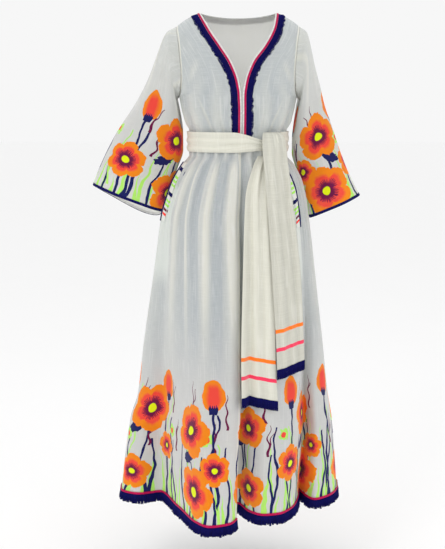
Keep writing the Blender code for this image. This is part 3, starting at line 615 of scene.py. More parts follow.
def flat_places(across, up):
    """The flat places of a grid, from those of its columns and rows."""
    return np.stack(np.meshgrid(across, up, indexing="xy"), axis=-1)


def mend(mesh, sides=0):
    """Fills the open ends of a tube with so many sides, and turns every face outwards."""
    shape = bmesh.new()
    shape.from_mesh(mesh)
    if sides:
        bmesh.ops.holes_fill(shape, edges=[edge for edge in shape.edges if edge.is_boundary], sides=sides)
    bmesh.ops.recalc_face_normals(shape, faces=shape.faces)
    shape.to_mesh(mesh)
    shape.free()


def roll(name, middle, across, up, material, sides=10):
    """A flattened tube of cloth along a line: across and up are its half width and half height."""
    angle = 2 * np.pi * np.arange(sides) / sides
    ring = across[:, None] * np.cos(angle)[:, None] + up[:, None] * np.sin(angle)[:, None]
    grid = middle[:, None] + ring
    girth = 4 * np.linalg.norm(across, axis=1).mean()
    cut = flat_places(np.linspace(0, girth, sides + 1), run_of(middle))
    made = cloth(name, grid, cut, material, grid[0, 0] - middle[0], closed=True, thick=0)
    mend(made.data, sides)
    return made


def draws(count, draw):
    """A column of values, drawn one by one."""
    return np.array([draw(k) for k in range(count)])[:, None]


def strands(name, paths, normals, thin, stout):
    """Cut navy threads, each a tapering three-sided prism along its path."""
    count, steps = paths.shape[:2]
    widths = draws(count, lambda k: chance.uniform(thin, stout))[:, 0]
    tangents = unit(np.gradient(paths, axis=1))
    aside = unit(np.cross(tangents, normals))
    away = unit(np.cross(aside, tangents))
    taper = np.linspace(1, 0.55, steps)[None, :, None, None]
    corners = np.stack([aside, -aside, away * 1.1], axis=2) * taper * widths[:, None, None, None] / 2
    points = (paths[:, :, None] + corners).reshape(-1, 3)
    faces = []
    for first in range(0, count * steps * 3, steps * 3):
        for ring in range(first, first + (steps - 1) * 3, 3):
            faces += [[ring + a, ring + b, ring + 3 + b, ring + 3 + a] for a, b in ((0, 1), (1, 2), (2, 0))]
        last = first + (steps - 1) * 3
        faces += [[first + 2, first + 1, first], [last, last + 1, last + 2]]
    mesh = bpy.data.meshes.new(name)
    mesh.from_pydata(points.tolist(), [], faces)
    tone = np.repeat(draws(count, lambda k: chance.random()), steps * 3)
    made = placed(name, mesh, navy_thread, {"tone": tone})
    mend(mesh)
    return made


def bias_cloth(name, colour, roughness=0.7):
    """A narrow woven strip cut on the bias, so that its threads run slantwise."""
    paint = Paint(name, roughness)
    _, _, place = paint.flat()
    slant = paint.node("ShaderNodeVectorRotate", {}, {"Vector": place, "Angle": math.radians(45)})
    thread = woven(paint, slant, 0.0007)
    dull = tuple(c * 0.72 for c in colour)
    base = paint.mix(paint.ease(thread, 0.7, 1.5), dull, colour)
    return paint.wear(base, thread, 0.45)


def thread_finish(name, colour):
    """Cut cotton threads, no two of quite the same tone."""
    paint = Paint(name, 0.8)
    tone = paint.fact("tone")
    place = paint.node("ShaderNodeTexCoord", {}, {}, 3)
    twist = paint.noise(place, 900.0, 1.0)
    dull, bright = (tuple(c * share for c in colour) for share in (0.55, 1.5))
    base = paint.mix(tone * 0.6 + twist * 0.4, dull, bright)
    return paint.wear(base, twist, 0.4)


white_strip = bias_cloth("white bias strip", WHITE)
magenta_strip = bias_cloth("magenta piping", MAGENTA, 0.55)
navy_strip = bias_cloth("navy heading", NAVY)
navy_thread = thread_finish("navy cut thread", NAVY)

line, square, outwards = neckline()
bodice_tree = tree_of(bodice)
neck_trims = []
for (name, begins, ends, height), material in zip(NECK_TRIMS, (white_strip, magenta_strip)):
    sides = [laid(bodice_tree, line + outwards * reach, square, LAY_REACH) for reach in (begins, ends)]
    middle = (sides[0] + sides[1]) / 2 + square * (LAY + height)
    made = roll(name + "_cloth", middle, (sides[1] - sides[0]) / 2, square * height, material)
    sewn_in(made, "white_edging" if material is white_strip else "magenta_piping")
    neck_trims.append(made)

reaches = np.linspace(*NECK_BAND, BAND_COLUMNS)
under = line[:, None] + outwards[:, None] * reaches[:, None]
spread = np.repeat(square[:, None], len(reaches), axis=1)
band = laid(bodice_tree, under, spread, LAY_REACH)
run = run_of(line)
cut = flat_places(reaches[:HEADING], run)
grid = band[:, :HEADING] + spread[:, :HEADING] * (LAY + 0.0002)
heading = cloth("neck_fringe_heading", grid, cut, navy_strip, square[0], thick=0.0003)
sewn_in(heading, "navy_fringe", "neck_fringe_band")

NECK_THREADS = 1500
threads = []
for k in range(2 * NECK_THREADS):
    spot = run[-1] * (k // 2 + chance.random()) / NECK_THREADS
    lean = chance.gauss(0, 0.0010)
    short = abs(chance.gauss(0, 0.0010)) + 0.0016 * (1 + math.sin(spot * 190 + 3 * math.sin(spot * 71)))
    lift = (0.0007, 0.0014)[k % 2] + chance.uniform(0, 0.0003)
    steps = np.linspace(0, 1 - short / THREAD_LENGTH, THREAD_POINTS)
    points = []
    for share, at in zip(steps, spot + lean * steps):
        row = np.clip(np.searchsorted(run, at) - 1, 0, len(run) - 2)
        t = np.clip((at - run[row]) / (run[row + 1] - run[row]), 0, 1)
        place = share * (len(reaches) - 1)
        left = min(int(place), len(reaches) - 2)
        w = place - left
        low = (band[row, left] * (1 - w) + band[row, left + 1] * w) * (1 - t)
        low = low + (band[row + 1, left] * (1 - w) + band[row + 1, left + 1] * w) * t
        points.append(low + square[row] * (lift * (0.6 + 0.7 * share)))
    threads.append((points, [square[np.clip(np.searchsorted(run, spot), 0, len(run) - 1)]] * THREAD_POINTS))
paths, normals = (np.array(part) for part in zip(*threads))
made = strands("neck_fringe_threads", paths, normals, 0.0009, 0.0013)
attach(made, "root")
neck_trims += [heading, made]


# Flower border
# A painted border of flowers, buds, leaves, blades and stems in orange, coral, plum, lime and navy, on
# the lower sleeves and the hem. It is a plain repeat in rows, drawn by rules on the flat cloth.
ORANGE = (1.000, 0.215, 0.003)
CORAL = (0.960, 0.050, 0.035)
PLUM = (0.130, 0.002, 0.045)
YELLOW = (0.770, 0.930, 0.002)
LIME = (0.400, 0.850, 0.130)
INK = (0.003, 0.005, 0.085)
GROUND = (0.640, 0.620, 0.595)
STEM_WAVE = 0.19


def cells(paint, across, every, shift, seed):
    """Splits the cloth into even stretches: how far each point is from its stretch's middle, and two
    chances of that stretch."""
    place = across / every + shift
    cell = paint.function("FLOOR", place)
    one = paint.node("ShaderNodeTexWhiteNoise", {"noise_dimensions": "1D"}, {"W": cell + seed + 0.5})
    two = paint.node("ShaderNodeTexWhiteNoise", {"noise_dimensions": "1D"}, {"W": cell * 1.7 + seed + 9.3})
    return (place - cell - 0.5) * every, one, two


def stems(paint, base, across, up, every, shift, seed, tall, width, colour, foot=0.004, bend=0.006):
    """A row of wavering stems that rise from the edge, each to its own height."""
    off, one, two = cells(paint, across, every, shift, seed)
    top = (one * 0.45 + 0.62) * tall
    sway = paint.function("SINE", up * (2 * math.pi / STEM_WAVE) + two * 6.3) * bend
    off = off - sway - (two - 0.5) * (every * 0.3)
    thin = (1.15 - up / top * 0.5) * (width / 2)
    mask = (paint.function("ABSOLUTE", off) < thin) * (up < top) * (up > foot)
    return paint.mix(mask, base, colour)


def blades(paint, base, across, up, every, shift, seed, tall, width, lean, colour):
    """A row of grass blades that lean over towards their tips."""
    off, one, two = cells(paint, across, every, shift, seed)
    top = (one * 0.7 + 0.4) * tall
    share = up / top
    off = off - (two - 0.5) * every * 0.5 - share * share * lean * (two * 2 - 0.8)
    mask = (paint.function("ABSOLUTE", off) < (1 - share) * (width / 2)) * (share < 1) * (up > 0.004)
    return paint.mix(mask, base, colour)


def twigs(paint, base, across, up, every, shift, seed, height, rise, tall, width, colour):
    """A row of short forked twigs that stand above the flowers."""
    off, one, two = cells(paint, across, every, shift, seed)
    lift = up - height - (one - 0.5) * rise
    share = lift / tall
    off = off - (two - 0.5) * every * 0.35 - paint.function("SINE", lift * 150.0 + one * 6.3) * 0.0028
    thin = (1.2 - share) * (width / 2)
    inside = (share > 0) * (share < 1)
    fork = paint.function("ABSOLUTE", off - (share - 0.35) * tall * (two - 0.35)) < thin * 0.8
    mask = (paint.function("ABSOLUTE", off) < thin) * inside
    mask = paint.function("MAXIMUM", mask, fork * (share > 0.35) * (share < 0.8))
    return paint.mix(mask, base, colour)


def leaves(paint, base, across, up, every, shift, seed, height, rise, half_long, half_wide, lean, ragged):
    """A row of slanting ink leaves with a ragged edge."""
    off, one, two = cells(paint, across, every, shift, seed)
    off = off - (two - 0.5) * every * 0.4
    lift = up - height - (one - 0.5) * rise
    along = off * math.cos(lean) + lift * math.sin(lean)
    aside = lift * math.cos(lean) - off * math.sin(lean)
    far = along * along / half_long**2 + aside * aside / half_wide**2
    return paint.mix(far + ragged * 1.6 < 1.0, base, INK)


def blossoms(paint, base, across, up, every, shift, seed, height, rise, radius, ragged):
    """A row of small lime blossoms with a coral middle."""
    off, one, two = cells(paint, across, every, shift, seed)
    off = off - (two - 0.5) * every * 0.4
    lift = up - height - (one - 0.5) * rise
    far = paint.function("SQRT", off * off + lift * lift) / radius
    base = paint.mix(far + ragged * 1.9 < 1.0, base, LIME)
    return paint.mix(far + ragged * 0.4 < 0.50, base, CORAL)


def flowers(paint, base, across, up, every, shift, seed, height, rise, radius, petals, wobble):
    """A row of open flowers: rounded petals, orange at the rim, a plum heart and a yellow eye."""
    off, one, two = cells(paint, across, every, shift, seed)
    off = off - (two - 0.5) * (every - 2 * radius) * 0.6
    lift = up - height - (one - 0.5) * rise
    size = (two * 0.40 + 0.76) * radius
    turn = paint.function("ARCTAN2", lift, off)
    far = paint.function("SQRT", off * off + lift * lift) / size
    petal = paint.function("ABSOLUTE", paint.function("SINE", turn * (petals / 2) + one * 6.3))
    frill = paint.function("SINE", turn * 17.0 + wobble * 10.0) * 0.010
    rim = paint.function("SQRT", petal) * 0.24 + 0.76 + wobble * 0.13 + frill
    near = far / rim
    ray = paint.function("SINE", turn * 41.0 + wobble * 12.0) * 0.5 + 0.5
    fray = (ray * 1.5 + wobble) * paint.ease(far, 0.16, 0.30) * (1 - paint.ease(far, 0.42, 0.7)) * 0.13
    vein = (1 - paint.ease(petal, 0.0, 0.45)) * paint.ease(near, 0.45, 0.8) * 0.20
    stops = ((0.0, PLUM), (0.31, PLUM), (0.37, CORAL), (0.60, CORAL), (0.76, ORANGE), (1.0, ORANGE))
    colour = paint.ramp(near - fray + vein, stops)
    colour = paint.mix(far < 0.170, colour, YELLOW)
    return paint.mix(near < 1.0, base, colour)


def buds(paint, base, across, up, every, shift, seed, height, rise, tall, ragged):
    """A row of closed buds on long stems, orange at the rim and coral within, on a spiky ink cup."""
    off, one, two = cells(paint, across, every, shift, seed)
    off = off - (two - 0.5) * every * 0.3
    lift = up - height - (one - 0.5) * rise
    sway = paint.function("SINE", up * (2 * math.pi / STEM_WAVE) + one * 6.3) * lift * 0.022
    stem = (paint.function("ABSOLUTE", off - sway) < 0.0034) * (lift < 0) * (up > 0.004)
    base = paint.mix(stem, base, INK)
    share = lift / tall
    round_out = paint.function("SQRT", paint.function("MAXIMUM", share * (1 - share), 0.0))
    wide = round_out * (1.1 - share * 0.2) * (tall * 0.78) + ragged * 0.006
    aside = paint.function("ABSOLUTE", off)
    shade = paint.mix(paint.ease(aside / wide, 0.35, 0.85), CORAL, ORANGE)
    shade = paint.mix(paint.ease(share, 0.7, 0.95), shade, ORANGE)
    base = paint.mix((aside < wide) * (share > 0) * (share < 1), base, shade)
    spikes = paint.function("SINE", off * 1100.0) * 0.05 + 0.17
    cup = (aside < tall * 0.17 - paint.function("ABSOLUTE", share - 0.08) * (tall * 0.35)) * (share < spikes)
    return paint.mix(cup * (share > -0.08), base, INK)


def border(paint, base, across, up, place, tall, lap, shift=0.0):
    """The whole border, from the edge of the cloth up to its height. lap is the cloth's width, so
    that each row has a whole number of repeats, and shift moves them all along it."""

    def even(every):
        return lap / round(lap / every)

    low = 1 - paint.ease(up, tall * 0.7, tall * 1.5)
    base = paint.mix(low * 0.5, base, GROUND)
    drift = paint.noise(place, 26.0, 1.0) - 0.5
    drift_up = paint.noise(place, 21.0, 1.0, (1.3, 0.9, 1)) - 0.5
    x = across + shift + drift * 0.014
    y = up + drift_up * 0.014
    wobble = paint.noise(place, 95.0, 1.0) - 0.5
    grow = tall / 0.40
    base = blades(paint, base, x, y, even(0.029), 0.0, 11.0, 0.14 * grow, 0.0100, 0.018, LIME)
    base = blades(paint, base, x, y, even(0.047), 0.4, 23.0, 0.24 * grow, 0.0095, 0.030, LIME)
    base = stems(paint, base, x, y, even(0.055), 0.2, 31.0, 0.22 * grow, 0.0072, INK)
    base = stems(paint, base, x, y, even(0.103), 0.7, 47.0, 0.30 * grow, 0.0080, INK, 0.004, 0.008)
    base = stems(paint, base, x, y, even(0.121), 0.5, 53.0, 0.33 * grow, 0.0050, LIME, 0.02, 0.010)
    base = twigs(paint, base, x, y, even(0.128), 0.3, 57.0, 0.262 * grow, 0.03, 0.095, 0.0068, PLUM)
    base = twigs(paint, base, x, y, even(0.171), 0.6, 59.0, 0.165 * grow, 0.04, 0.085, 0.0062, PLUM)
    base = leaves(paint, base, x, y, even(0.233), 0.15, 61.0, 0.190 * grow, 0.05, 0.026, 0.014, 0.5, wobble)
    base = blossoms(paint, base, x, y, even(0.187), 0.5, 63.0, 0.205 * grow, 0.07, 0.0165, wobble)
    base = buds(paint, base, x, y, even(0.215), 0.5, 67.0, 0.300 * grow, 0.02, 0.084, wobble)
    base = flowers(paint, base, x, y, even(0.215), 0.0, 71.0, 0.250 * grow, 0.03, 0.066, 5.0, wobble)
    base = flowers(paint, base, x, y, even(0.215), 0.5, 83.0, 0.150 * grow, 0.03, 0.049, 6.0, wobble)
    return flowers(paint, base, x, y, even(0.215), 0.0, 97.0, 0.076 * grow, 0.02, 0.060, 5.0, wobble)


# Sleeves
# Bell sleeves of the same voile, set into the armholes with the seam turned in, widening to the
# cuff. A narrow navy strip is sewn along the outside of each cuff's edge.
SLEEVE_BORDER = 0.32
# Sleeve rings down each arm. outer and inner are the points of the ring's two edges seen from the
# front; middle_y and depth place its front and back; sag is how far its back hangs below its front.
SLEEVE_COLUMNS = ("down", "outer_x", "outer_z", "inner_x", "inner_z", "middle_y", "depth", "sag")
RIGHT_SLEEVE = Table(
    SLEEVE_COLUMNS,
    [
        (1, -0.195, -0.047, -0.170, -0.231, 0.006, 0.066, 0.000),
        (2, -0.213, -0.090, -0.164, -0.244, 0.009, 0.067, 0.000),
        (3, -0.231, -0.138, -0.158, -0.262, 0.013, 0.067, 0.000),
        (4, -0.252, -0.187, -0.154, -0.285, 0.018, 0.065, 0.000),
        (5, -0.286, -0.247, -0.151, -0.318, 0.026, 0.063, 0.000),
        (6, -0.326, -0.305, -0.151, -0.365, 0.034, 0.060, 0.002),
        (7, -0.362, -0.367, -0.169, -0.422, 0.043, 0.057, 0.006),
        (8, -0.390, -0.427, -0.194, -0.483, 0.051, 0.055, 0.014),
        (9, -0.405, -0.466, -0.214, -0.540, 0.056, 0.054, 0.026),
    ],
)
LEFT_SLEEVE = Table(
    SLEEVE_COLUMNS,
    [
        (1, 0.188, -0.047, 0.170, -0.231, 0.006, 0.066, 0.000),
        (2, 0.199, -0.090, 0.165, -0.246, 0.009, 0.067, 0.000),
        (3, 0.210, -0.138, 0.159, -0.268, 0.013, 0.067, 0.000),
        (4, 0.224, -0.187, 0.154, -0.297, 0.018, 0.065, 0.000),
        (5, 0.240, -0.247, 0.151, -0.334, 0.026, 0.062, 0.000),
        (6, 0.262, -0.305, 0.151, -0.374, 0.034, 0.059, 0.001),
        (7, 0.284, -0.367, 0.166, -0.427, 0.043, 0.056, 0.003),
        (8, 0.310, -0.430, 0.185, -0.492, 0.051, 0.054, 0.006),
        (9, 0.343, -0.494, 0.203, -0.556, 0.056, 0.053, 0.011),
    ],
)
SLEEVE_FOLDS = 5
SLEEVE_FOLD_HEIGHT = 0.0028
# The flat sleeve: as wide as the cuff goes round, all the way up, and curved at its head.
CUFF_TRIM = 0.0065


def armhole_ring(hand):
    """The sleeve's first ring, a seam's gap outside the armhole: down the front, then up the back."""
    halves = []
    near_top = np.linspace(0, 0.3, 22)[:-1] ** 1.5 / 0.3**0.5
    level = UNDERARM * np.concatenate([near_top, np.linspace(0.3, 1, 34)])
    for side in (-1, 1):
        x = hand * armhole_x(side, level)
        edge = bodice_point(side, x, level, -1.0)
        within = bodice_point(side, x - hand * 0.003, level, -1.0)
        low = smooth(-level, 0.10, 0.19)[:, None]
        normal = surface_normals(side, np.clip(x, -0.156, 0.156), level)
        lapped = unit(normal * np.array([1, 1, 0])) * 0.0023
        halves.append(edge + unit(edge - within) * 0.0012 * (1 - low) + lapped * low)
    front, back = halves
    return np.concatenate([front, back[-2:0:-1]])


def sleeve_turns(ring):
    """The angle round the sleeve of each point of its armhole ring, by its distance along the ring."""
    steps = np.linalg.norm(np.roll(ring, -1, axis=0) - ring, axis=1)
    half = len(ring) // 2
    front = np.concatenate([[0], np.cumsum(steps[:half])]) / np.sum(steps[:half])
    back = np.concatenate([[0], np.cumsum(steps[half:])]) / np.sum(steps[half:])
    return np.concatenate([front[:-1], 1 + back[:-1]]) * np.pi


def sleeve_ring(table, down, around):
    """One ring of a sleeve, begun at its outer edge and run down its front."""
    middle = table.at(down, "middle_y")
    outer = np.array([table.at(down, "outer_x"), middle, table.at(down, "outer_z")])
    inner = np.array([table.at(down, "inner_x"), middle, table.at(down, "inner_z")])
    amount = SLEEVE_FOLD_HEIGHT * smooth(down, 1, 3.5)
    fold = amount * np.cos(SLEEVE_FOLDS * around + 0.7 * down)
    ring = (outer + inner) / 2 + np.cos(around)[:, None] * (outer - inner) / 2
    ring[:, 1] -= np.sin(around) * (table.at(down, "depth") + fold)
    ring[:, 2] -= table.at(down, "sag") * np.maximum(-np.sin(around), 0) * (1 - 0.5 * np.cos(around))
    return ring


def sleeve(hand, table):
    """A sleeve's grid from armhole to cuff, each ring begun at the underarm seam, and its flat places."""
    first = armhole_ring(hand)
    by_length = sleeve_turns(first)
    evenly = 2 * np.pi * np.arange(len(first)) / len(first)
    grid = []
    for down in np.linspace(0, 9, 118):
        around = by_length + (evenly - by_length) * smooth(down, 1, 5)
        ring = sleeve_ring(table, max(down, 1), around)
        grid.append(ring if down >= 1 else first + (ring - first) * down)
    grid = np.array(grid)
    for _ in range(14):
        grid[1:40] = (grid[:39] + 2 * grid[1:40] + grid[2:41]) / 4
    half = len(first) // 2
    grid = np.roll(grid, -half, axis=1)
    steps = np.linalg.norm(np.diff(grid, axis=0), axis=-1)
    up = np.concatenate([np.cumsum(steps[::-1], axis=0)[::-1], np.zeros((1, len(first)))])
    girth = np.linalg.norm(np.roll(grid[-12], -1, axis=0) - grid[-12], axis=1).sum()
    across = np.broadcast_to(np.linspace(0, girth, len(first) + 1), (len(grid), len(first) + 1))
    cut = np.stack([across, np.concatenate([up, up[:, :1]], axis=1)], axis=-1)
    return grid, cut, girth


def cuff_binding(name, hand, grid, material):
    """A strip sewn down the outside of the sleeve's edge and turned under it."""
    normals = grid_normals(grid, closed=True)[-1] * hand
    edge = grid[-1]
    up = unit(grid[-4] - edge)
    out, rows = 0.0012, []
    for height in np.linspace(CUFF_TRIM, 0, 4):
        rows.append(edge + up * height + normals * out)
    for angle in np.linspace(0, np.pi / 2, 4)[1:]:
        rows.append(edge + normals * (out * math.cos(angle)) - up * (out * math.sin(angle)))
    wrapped = np.array(rows)
    cut = flat_places(run_of(np.concatenate([edge, edge[:1]])), np.linspace(0, 2 * CUFF_TRIM, len(rows)))
    return cloth(name, wrapped, cut, material, normals[0], closed=True, thick=0.0008)


# Each crease: its two ends across and up the flat sleeve, its half width, and its height.
SLEEVE_CREASES = (
    ((0.03, 0.42), (0.05, 0.16), 0.012, 0.0034),
    ((0.09, 0.50), (0.10, 0.24), 0.011, -0.0030),
    ((0.15, 0.52), (0.17, 0.20), 0.013, 0.0034),
    ((0.22, 0.54), (0.24, 0.30), 0.011, -0.0026),
    ((0.30, 0.55), (0.31, 0.22), 0.014, 0.0028),
    ((0.39, 0.50), (0.38, 0.20), 0.013, -0.0028),
    ((0.47, 0.46), (0.45, 0.18), 0.012, 0.0030),
    ((0.55, 0.42), (0.53, 0.20), 0.011, -0.0026),
)
sleeves = {}
for name, hand, table in (("right", -1, RIGHT_SLEEVE), ("left", 1, LEFT_SLEEVE)):
    grid, cut, girth = sleeve(hand, table)
    outward = grid_normals(grid, closed=True) * hand
    folded, ridge = creased(grid, outward, SLEEVE_CREASES, cut[:, :-1])
    grid[8:-8] = folded[8:-8]

    def printed(paint, base, across, up, place, girth=girth, hand=hand):
        return border(paint, base, across, up, place, SLEEVE_BORDER, girth, 0.045 * hand - 0.03)

    whole = np.ones(grid.shape[:2])
    # The fold fact paints light on the crests of the creases, never less than 0.3, and shade between them.
    facts = {"edge": whole, "fold": np.maximum(ridge * 0.8, 0.3)}
    finish = voile("sleeve voile " + name, printed)
    away = grid[0, 0] - grid[0].mean(axis=0)
    made = cloth("sleeve_" + name + "_cloth", grid, cut, finish, away, True, facts, inside=lit_inner_side)
    sewn_in(made, "ivory_voile")
    sleeves[name] = made
    binding = cuff_binding("cuff_binding_" + name + "_cloth", hand, grid, navy_strip)
    sewn_in(binding, "navy_fringe")


# Skirt
# Two fronts and a back, gathered into the waist seam under the sash. The right front laps over the
# left one, and the hem hangs in deep folds. The flower border runs all round above the hem.
SKIRT_EDGE = -1.344
FRINGE_TIP = -1.372
SKIRT_WAVES = 26
# A quarter of a gather, which the panels are counted in, and the grid's steps over it.
COLUMN_TURN = 90 / SKIRT_WAVES
FINE = 6
HEM_BORDER = 0.40
# Each panel's flat cut: its width at the hem, its length, and its area, as it narrows to the waist.
# Each panel, and the quarters of a gather where it begins and ends round the skirt.
PANELS = (("skirt_front_left", -3, 26), ("skirt_back", 26, 78), ("skirt_front_right", 78, 105))

# Skirt sections: middle_x shifts a section sideways; width, front and back are its half sizes.
SKIRT = Table(
    ("level", "middle_x", "width", "front", "back", "middle_y"),
    [
        (-0.345, 0.000, 0.1315, 0.100, 0.088, 0.000),
        (-0.378, 0.000, 0.1315, 0.100, 0.088, 0.000),
        (-0.405, -0.001, 0.1490, 0.117, 0.106, 0.000),
        (-0.450, -0.003, 0.1730, 0.136, 0.124, 0.000),
        (-0.500, -0.006, 0.1880, 0.150, 0.138, 0.000),
        (-0.545, -0.009, 0.1980, 0.160, 0.148, 0.001),
        (-0.700, -0.008, 0.2200, 0.183, 0.172, 0.003),
        (-0.900, -0.009, 0.2470, 0.207, 0.198, 0.007),
        (-1.060, -0.010, 0.2650, 0.220, 0.216, 0.011),
        (-1.130, -0.015, 0.2810, 0.226, 0.224, 0.013),
        (-1.372, -0.022, 0.3050, 0.240, 0.250, 0.020),
    ],
)

# The hem seen from above: where the cloth at each turn hangs, one row for each crest, valley and
# flank of the big folds, from the underlapping left front round the back to the right front's edge.
HEM_FOLDS = Table(
    ("turn", "x", "y"),
    [
        (-14, -0.056, -0.136),
        (2, 0.000, -0.104),
        (12, 0.033, -0.176),
        (22, 0.065, -0.202),
        (34, 0.110, -0.196),
        (44, 0.146, -0.148),
        (54, 0.167, -0.060),
        (62, 0.177, 0.012),
        (70, 0.196, -0.046),
        (76, 0.217, -0.079),
        (82, 0.249, -0.056),
        (86, 0.275, -0.020),
        (90, 0.292, 0.030),
        (100, 0.296, 0.080),
        (110, 0.262, 0.110),
        (122, 0.238, 0.175),
        (133, 0.190, 0.232),
        (145, 0.135, 0.206),
        (158, 0.082, 0.262),
        (170, 0.025, 0.284),
        (182, -0.025, 0.238),
        (195, -0.085, 0.274),
        (207, -0.140, 0.266),
        (219, -0.180, 0.204),
        (231, -0.240, 0.198),
        (243, -0.290, 0.152),
        (255, -0.286, 0.098),
        (264, -0.326, 0.082),
        (270, -0.338, 0.044),
        (277, -0.334, 0.002),
        (286, -0.284, -0.030),
        (298, -0.218, -0.006),
        (312, -0.163, -0.134),
        (326, -0.112, -0.258),
        (340, -0.070, -0.300),
        (352, -0.024, -0.276),
        (364, -0.004, -0.232),
        (368, 0.002, -0.220),
    ],
)

# Where the big folds begin, and how deep the underlapping edge is tucked in.
FOLDS_BEGIN = -0.50
TUCK = 0.0045

# The main pleats of the front, where the gathers fall together: turn at the waist and at the foot,
# half width in degrees, height, and how much paler it is painted, as doubled cloth and painted light on a
# ridge. A trough has less than none, as painted shade.
PLEATS = (
    (311.0, 305.0, 2.2, 0.0012, 0.40),
    (315.5, 319.0, 1.7, 0.0026, 0.62),
    (323.0, 329.0, 3.6, -0.0028, -0.60),
    (338.5, 336.5, 2.6, 0.0038, 0.78),
    (346.0, 345.5, 3.0, -0.0030, -0.80),
    (354.0, 359.5, 4.2, 0.0026, 0.88),
    (50.0, 47.0, 2.0, 0.0016, 0.60),
    (59.0, 55.5, 1.6, 0.0014, 0.45),
)
PLEATS_FOOT = -0.95


def section(turn, level):
    """The skirt without its folds, seen from above."""
    angle = np.radians(turn)
    depth = np.where(np.cos(angle) > 0, SKIRT.at(level, "front"), SKIRT.at(level, "back"))
    x = SKIRT.at(level, "middle_x") + SKIRT.at(level, "width") * np.sin(angle)
    y = SKIRT.at(level, "middle_y") - depth * np.cos(angle)
    return np.stack(np.broadcast_arrays(x, y), axis=-1)


def gathers(turn, level):
    """How far the gathers push the skirt out, and how much of a ridge each point is, from 0 to 1."""
    angle = np.radians(turn)
    phase = SKIRT_WAVES * angle + 0.7 * np.sin(3 * angle + 1.0) + 0.45 * np.sin(7 * angle + 2.0)
    uneven = 0.8 + 0.2 * np.sin(3 * angle + 0.8)
    calm = 1 - 0.8 * np.exp(-(((turn - 279) / 9) ** 2)) - 0.8 * np.exp(-(((turn - 58) / 9) ** 2))
    fine = np.cos(phase) * WAVES.at(level, "skirt_fine") * np.where(level > -0.38, 1, calm)
    broad = np.cos(phase / 2 + 0.5) * WAVES.at(level, "skirt_broad") * calm * uneven
    tiny = np.cos(2.6 * phase + 2.0 * np.sin(5 * angle)) * calm
    tiny = tiny * 0.0013 * smooth(-level, 0.385, 0.41) * (1 - smooth(-level, 0.50, 0.72))
    most = WAVES.at(level, "skirt_fine") + WAVES.at(level, "skirt_broad") + 0.0015
    return fine + broad + tiny, np.clip(0.5 + 0.5 * (fine + broad + tiny) / most, 0, 1) ** 1.5


def pleats(turn, level):
    """How far the front's main pleats stand out, and how much paler they are painted: doubled cloth and
    painted light on their ridges, painted shade in their troughs.
    """
    down = (WAIST - level) / (WAIST - PLEATS_FOOT)
    fade = smooth(down, 0.05, 0.14) * (1 - smooth(down, 0.40, 1.10))
    push, doubled = 0.0, 0.0
    for at_waist, at_foot, half_width, height, share in PLEATS:
        middle = at_waist + (at_foot - at_waist) * np.clip(down, 0, 1) ** 0.5
        shape = np.exp(-(np.abs((turn - middle) / half_width) ** 3)) * fade
        push = push + height * shape
        doubled = doubled + share * shape
    return push, doubled


def skirt_point(turn, level):
    """A point of the skirt: its section, its big folds, its gathers, and the tucked-in underlap."""
    turn, level = np.broadcast_arrays(np.asarray(turn, float), np.asarray(level, float))
    hem = np.stack([HEM_FOLDS.at(turn, "x"), HEM_FOLDS.at(turn, "y")], axis=-1)
    share = np.clip((FOLDS_BEGIN - level) / (FOLDS_BEGIN - FRINGE_TIP), 0, 1) ** 1.35
    plan = section(turn, level) + share[..., None] * (hem - section(turn, FRINGE_TIP))
    tucked = TUCK * (1 - smooth(turn, 6, 16)) * (1 - smooth(-level, 0.6, 1.2))
    push = gathers(turn, level)[0] + pleats(turn, level)[0] - tucked
    angle = np.radians(turn)
    plan = plan + np.stack([np.sin(angle), -np.cos(angle)], axis=-1) * push[..., None]
    return np.concatenate([plan, level[..., None]], axis=-1)


def skirt_normals(turn, level):
    """Outward normals of the skirt."""
    across = skirt_point(turn + 0.4, level) - skirt_point(turn - 0.4, level)
    down = skirt_point(turn, level - 0.01) - skirt_point(turn, level + 0.01)
    return unit(np.cross(down, across))


# The flat cloth is measured along the skirt at this level, and PRINT_LAP is once round it.
PRINT_LEVEL = SKIRT_EDGE + 0.22
hem_turns = np.linspace(-4, 106, 4000) * COLUMN_TURN
hem_line = skirt_point(hem_turns, PRINT_LEVEL)
hem_run = run_of(hem_line)
PRINT_LAP = float(np.interp(360, hem_turns, hem_run) - np.interp(0, hem_turns, hem_run))

# The painted bars beside a pocket's mouth: how far below its top, and the colour.
BARS = (
    (0.012, INK),
    (0.034, LIME),
    (0.045, LIME),
    (0.056, LIME),
    (0.079, INK),
    (0.098, LIME),
    (0.109, LIME),
    (0.122, PLUM),
    (0.134, CORAL),
)


def bars(paint, base, below, beside, place):
    """The short painted bars that stand in a row beside each pocket's mouth."""
    ragged = below + (paint.noise(place, 190.0, 1.0) - 0.5) * 0.004 - beside * 0.30
    for down, colour in BARS:
        half = 0.0046 if colour is INK else 0.0032
        line = paint.function("ABSOLUTE", ragged - down) < half
        base = paint.mix(line * (beside > 0.008) * (beside < 0.056 - 0.20 * down), base, colour)
    return base


def skirt_printed(paint, base, across, up, place):
    """The print, over the lighter patch where a pocket's bag lies behind the voile."""
    base = paint.mix(paint.fact("bag") * 0.75, base, (0.80, 0.86, 0.76))
    base = bars(paint, base, paint.fact("below"), paint.fact("beside"), place)
    return border(paint, base, across, up, place, HEM_BORDER, PRINT_LAP)


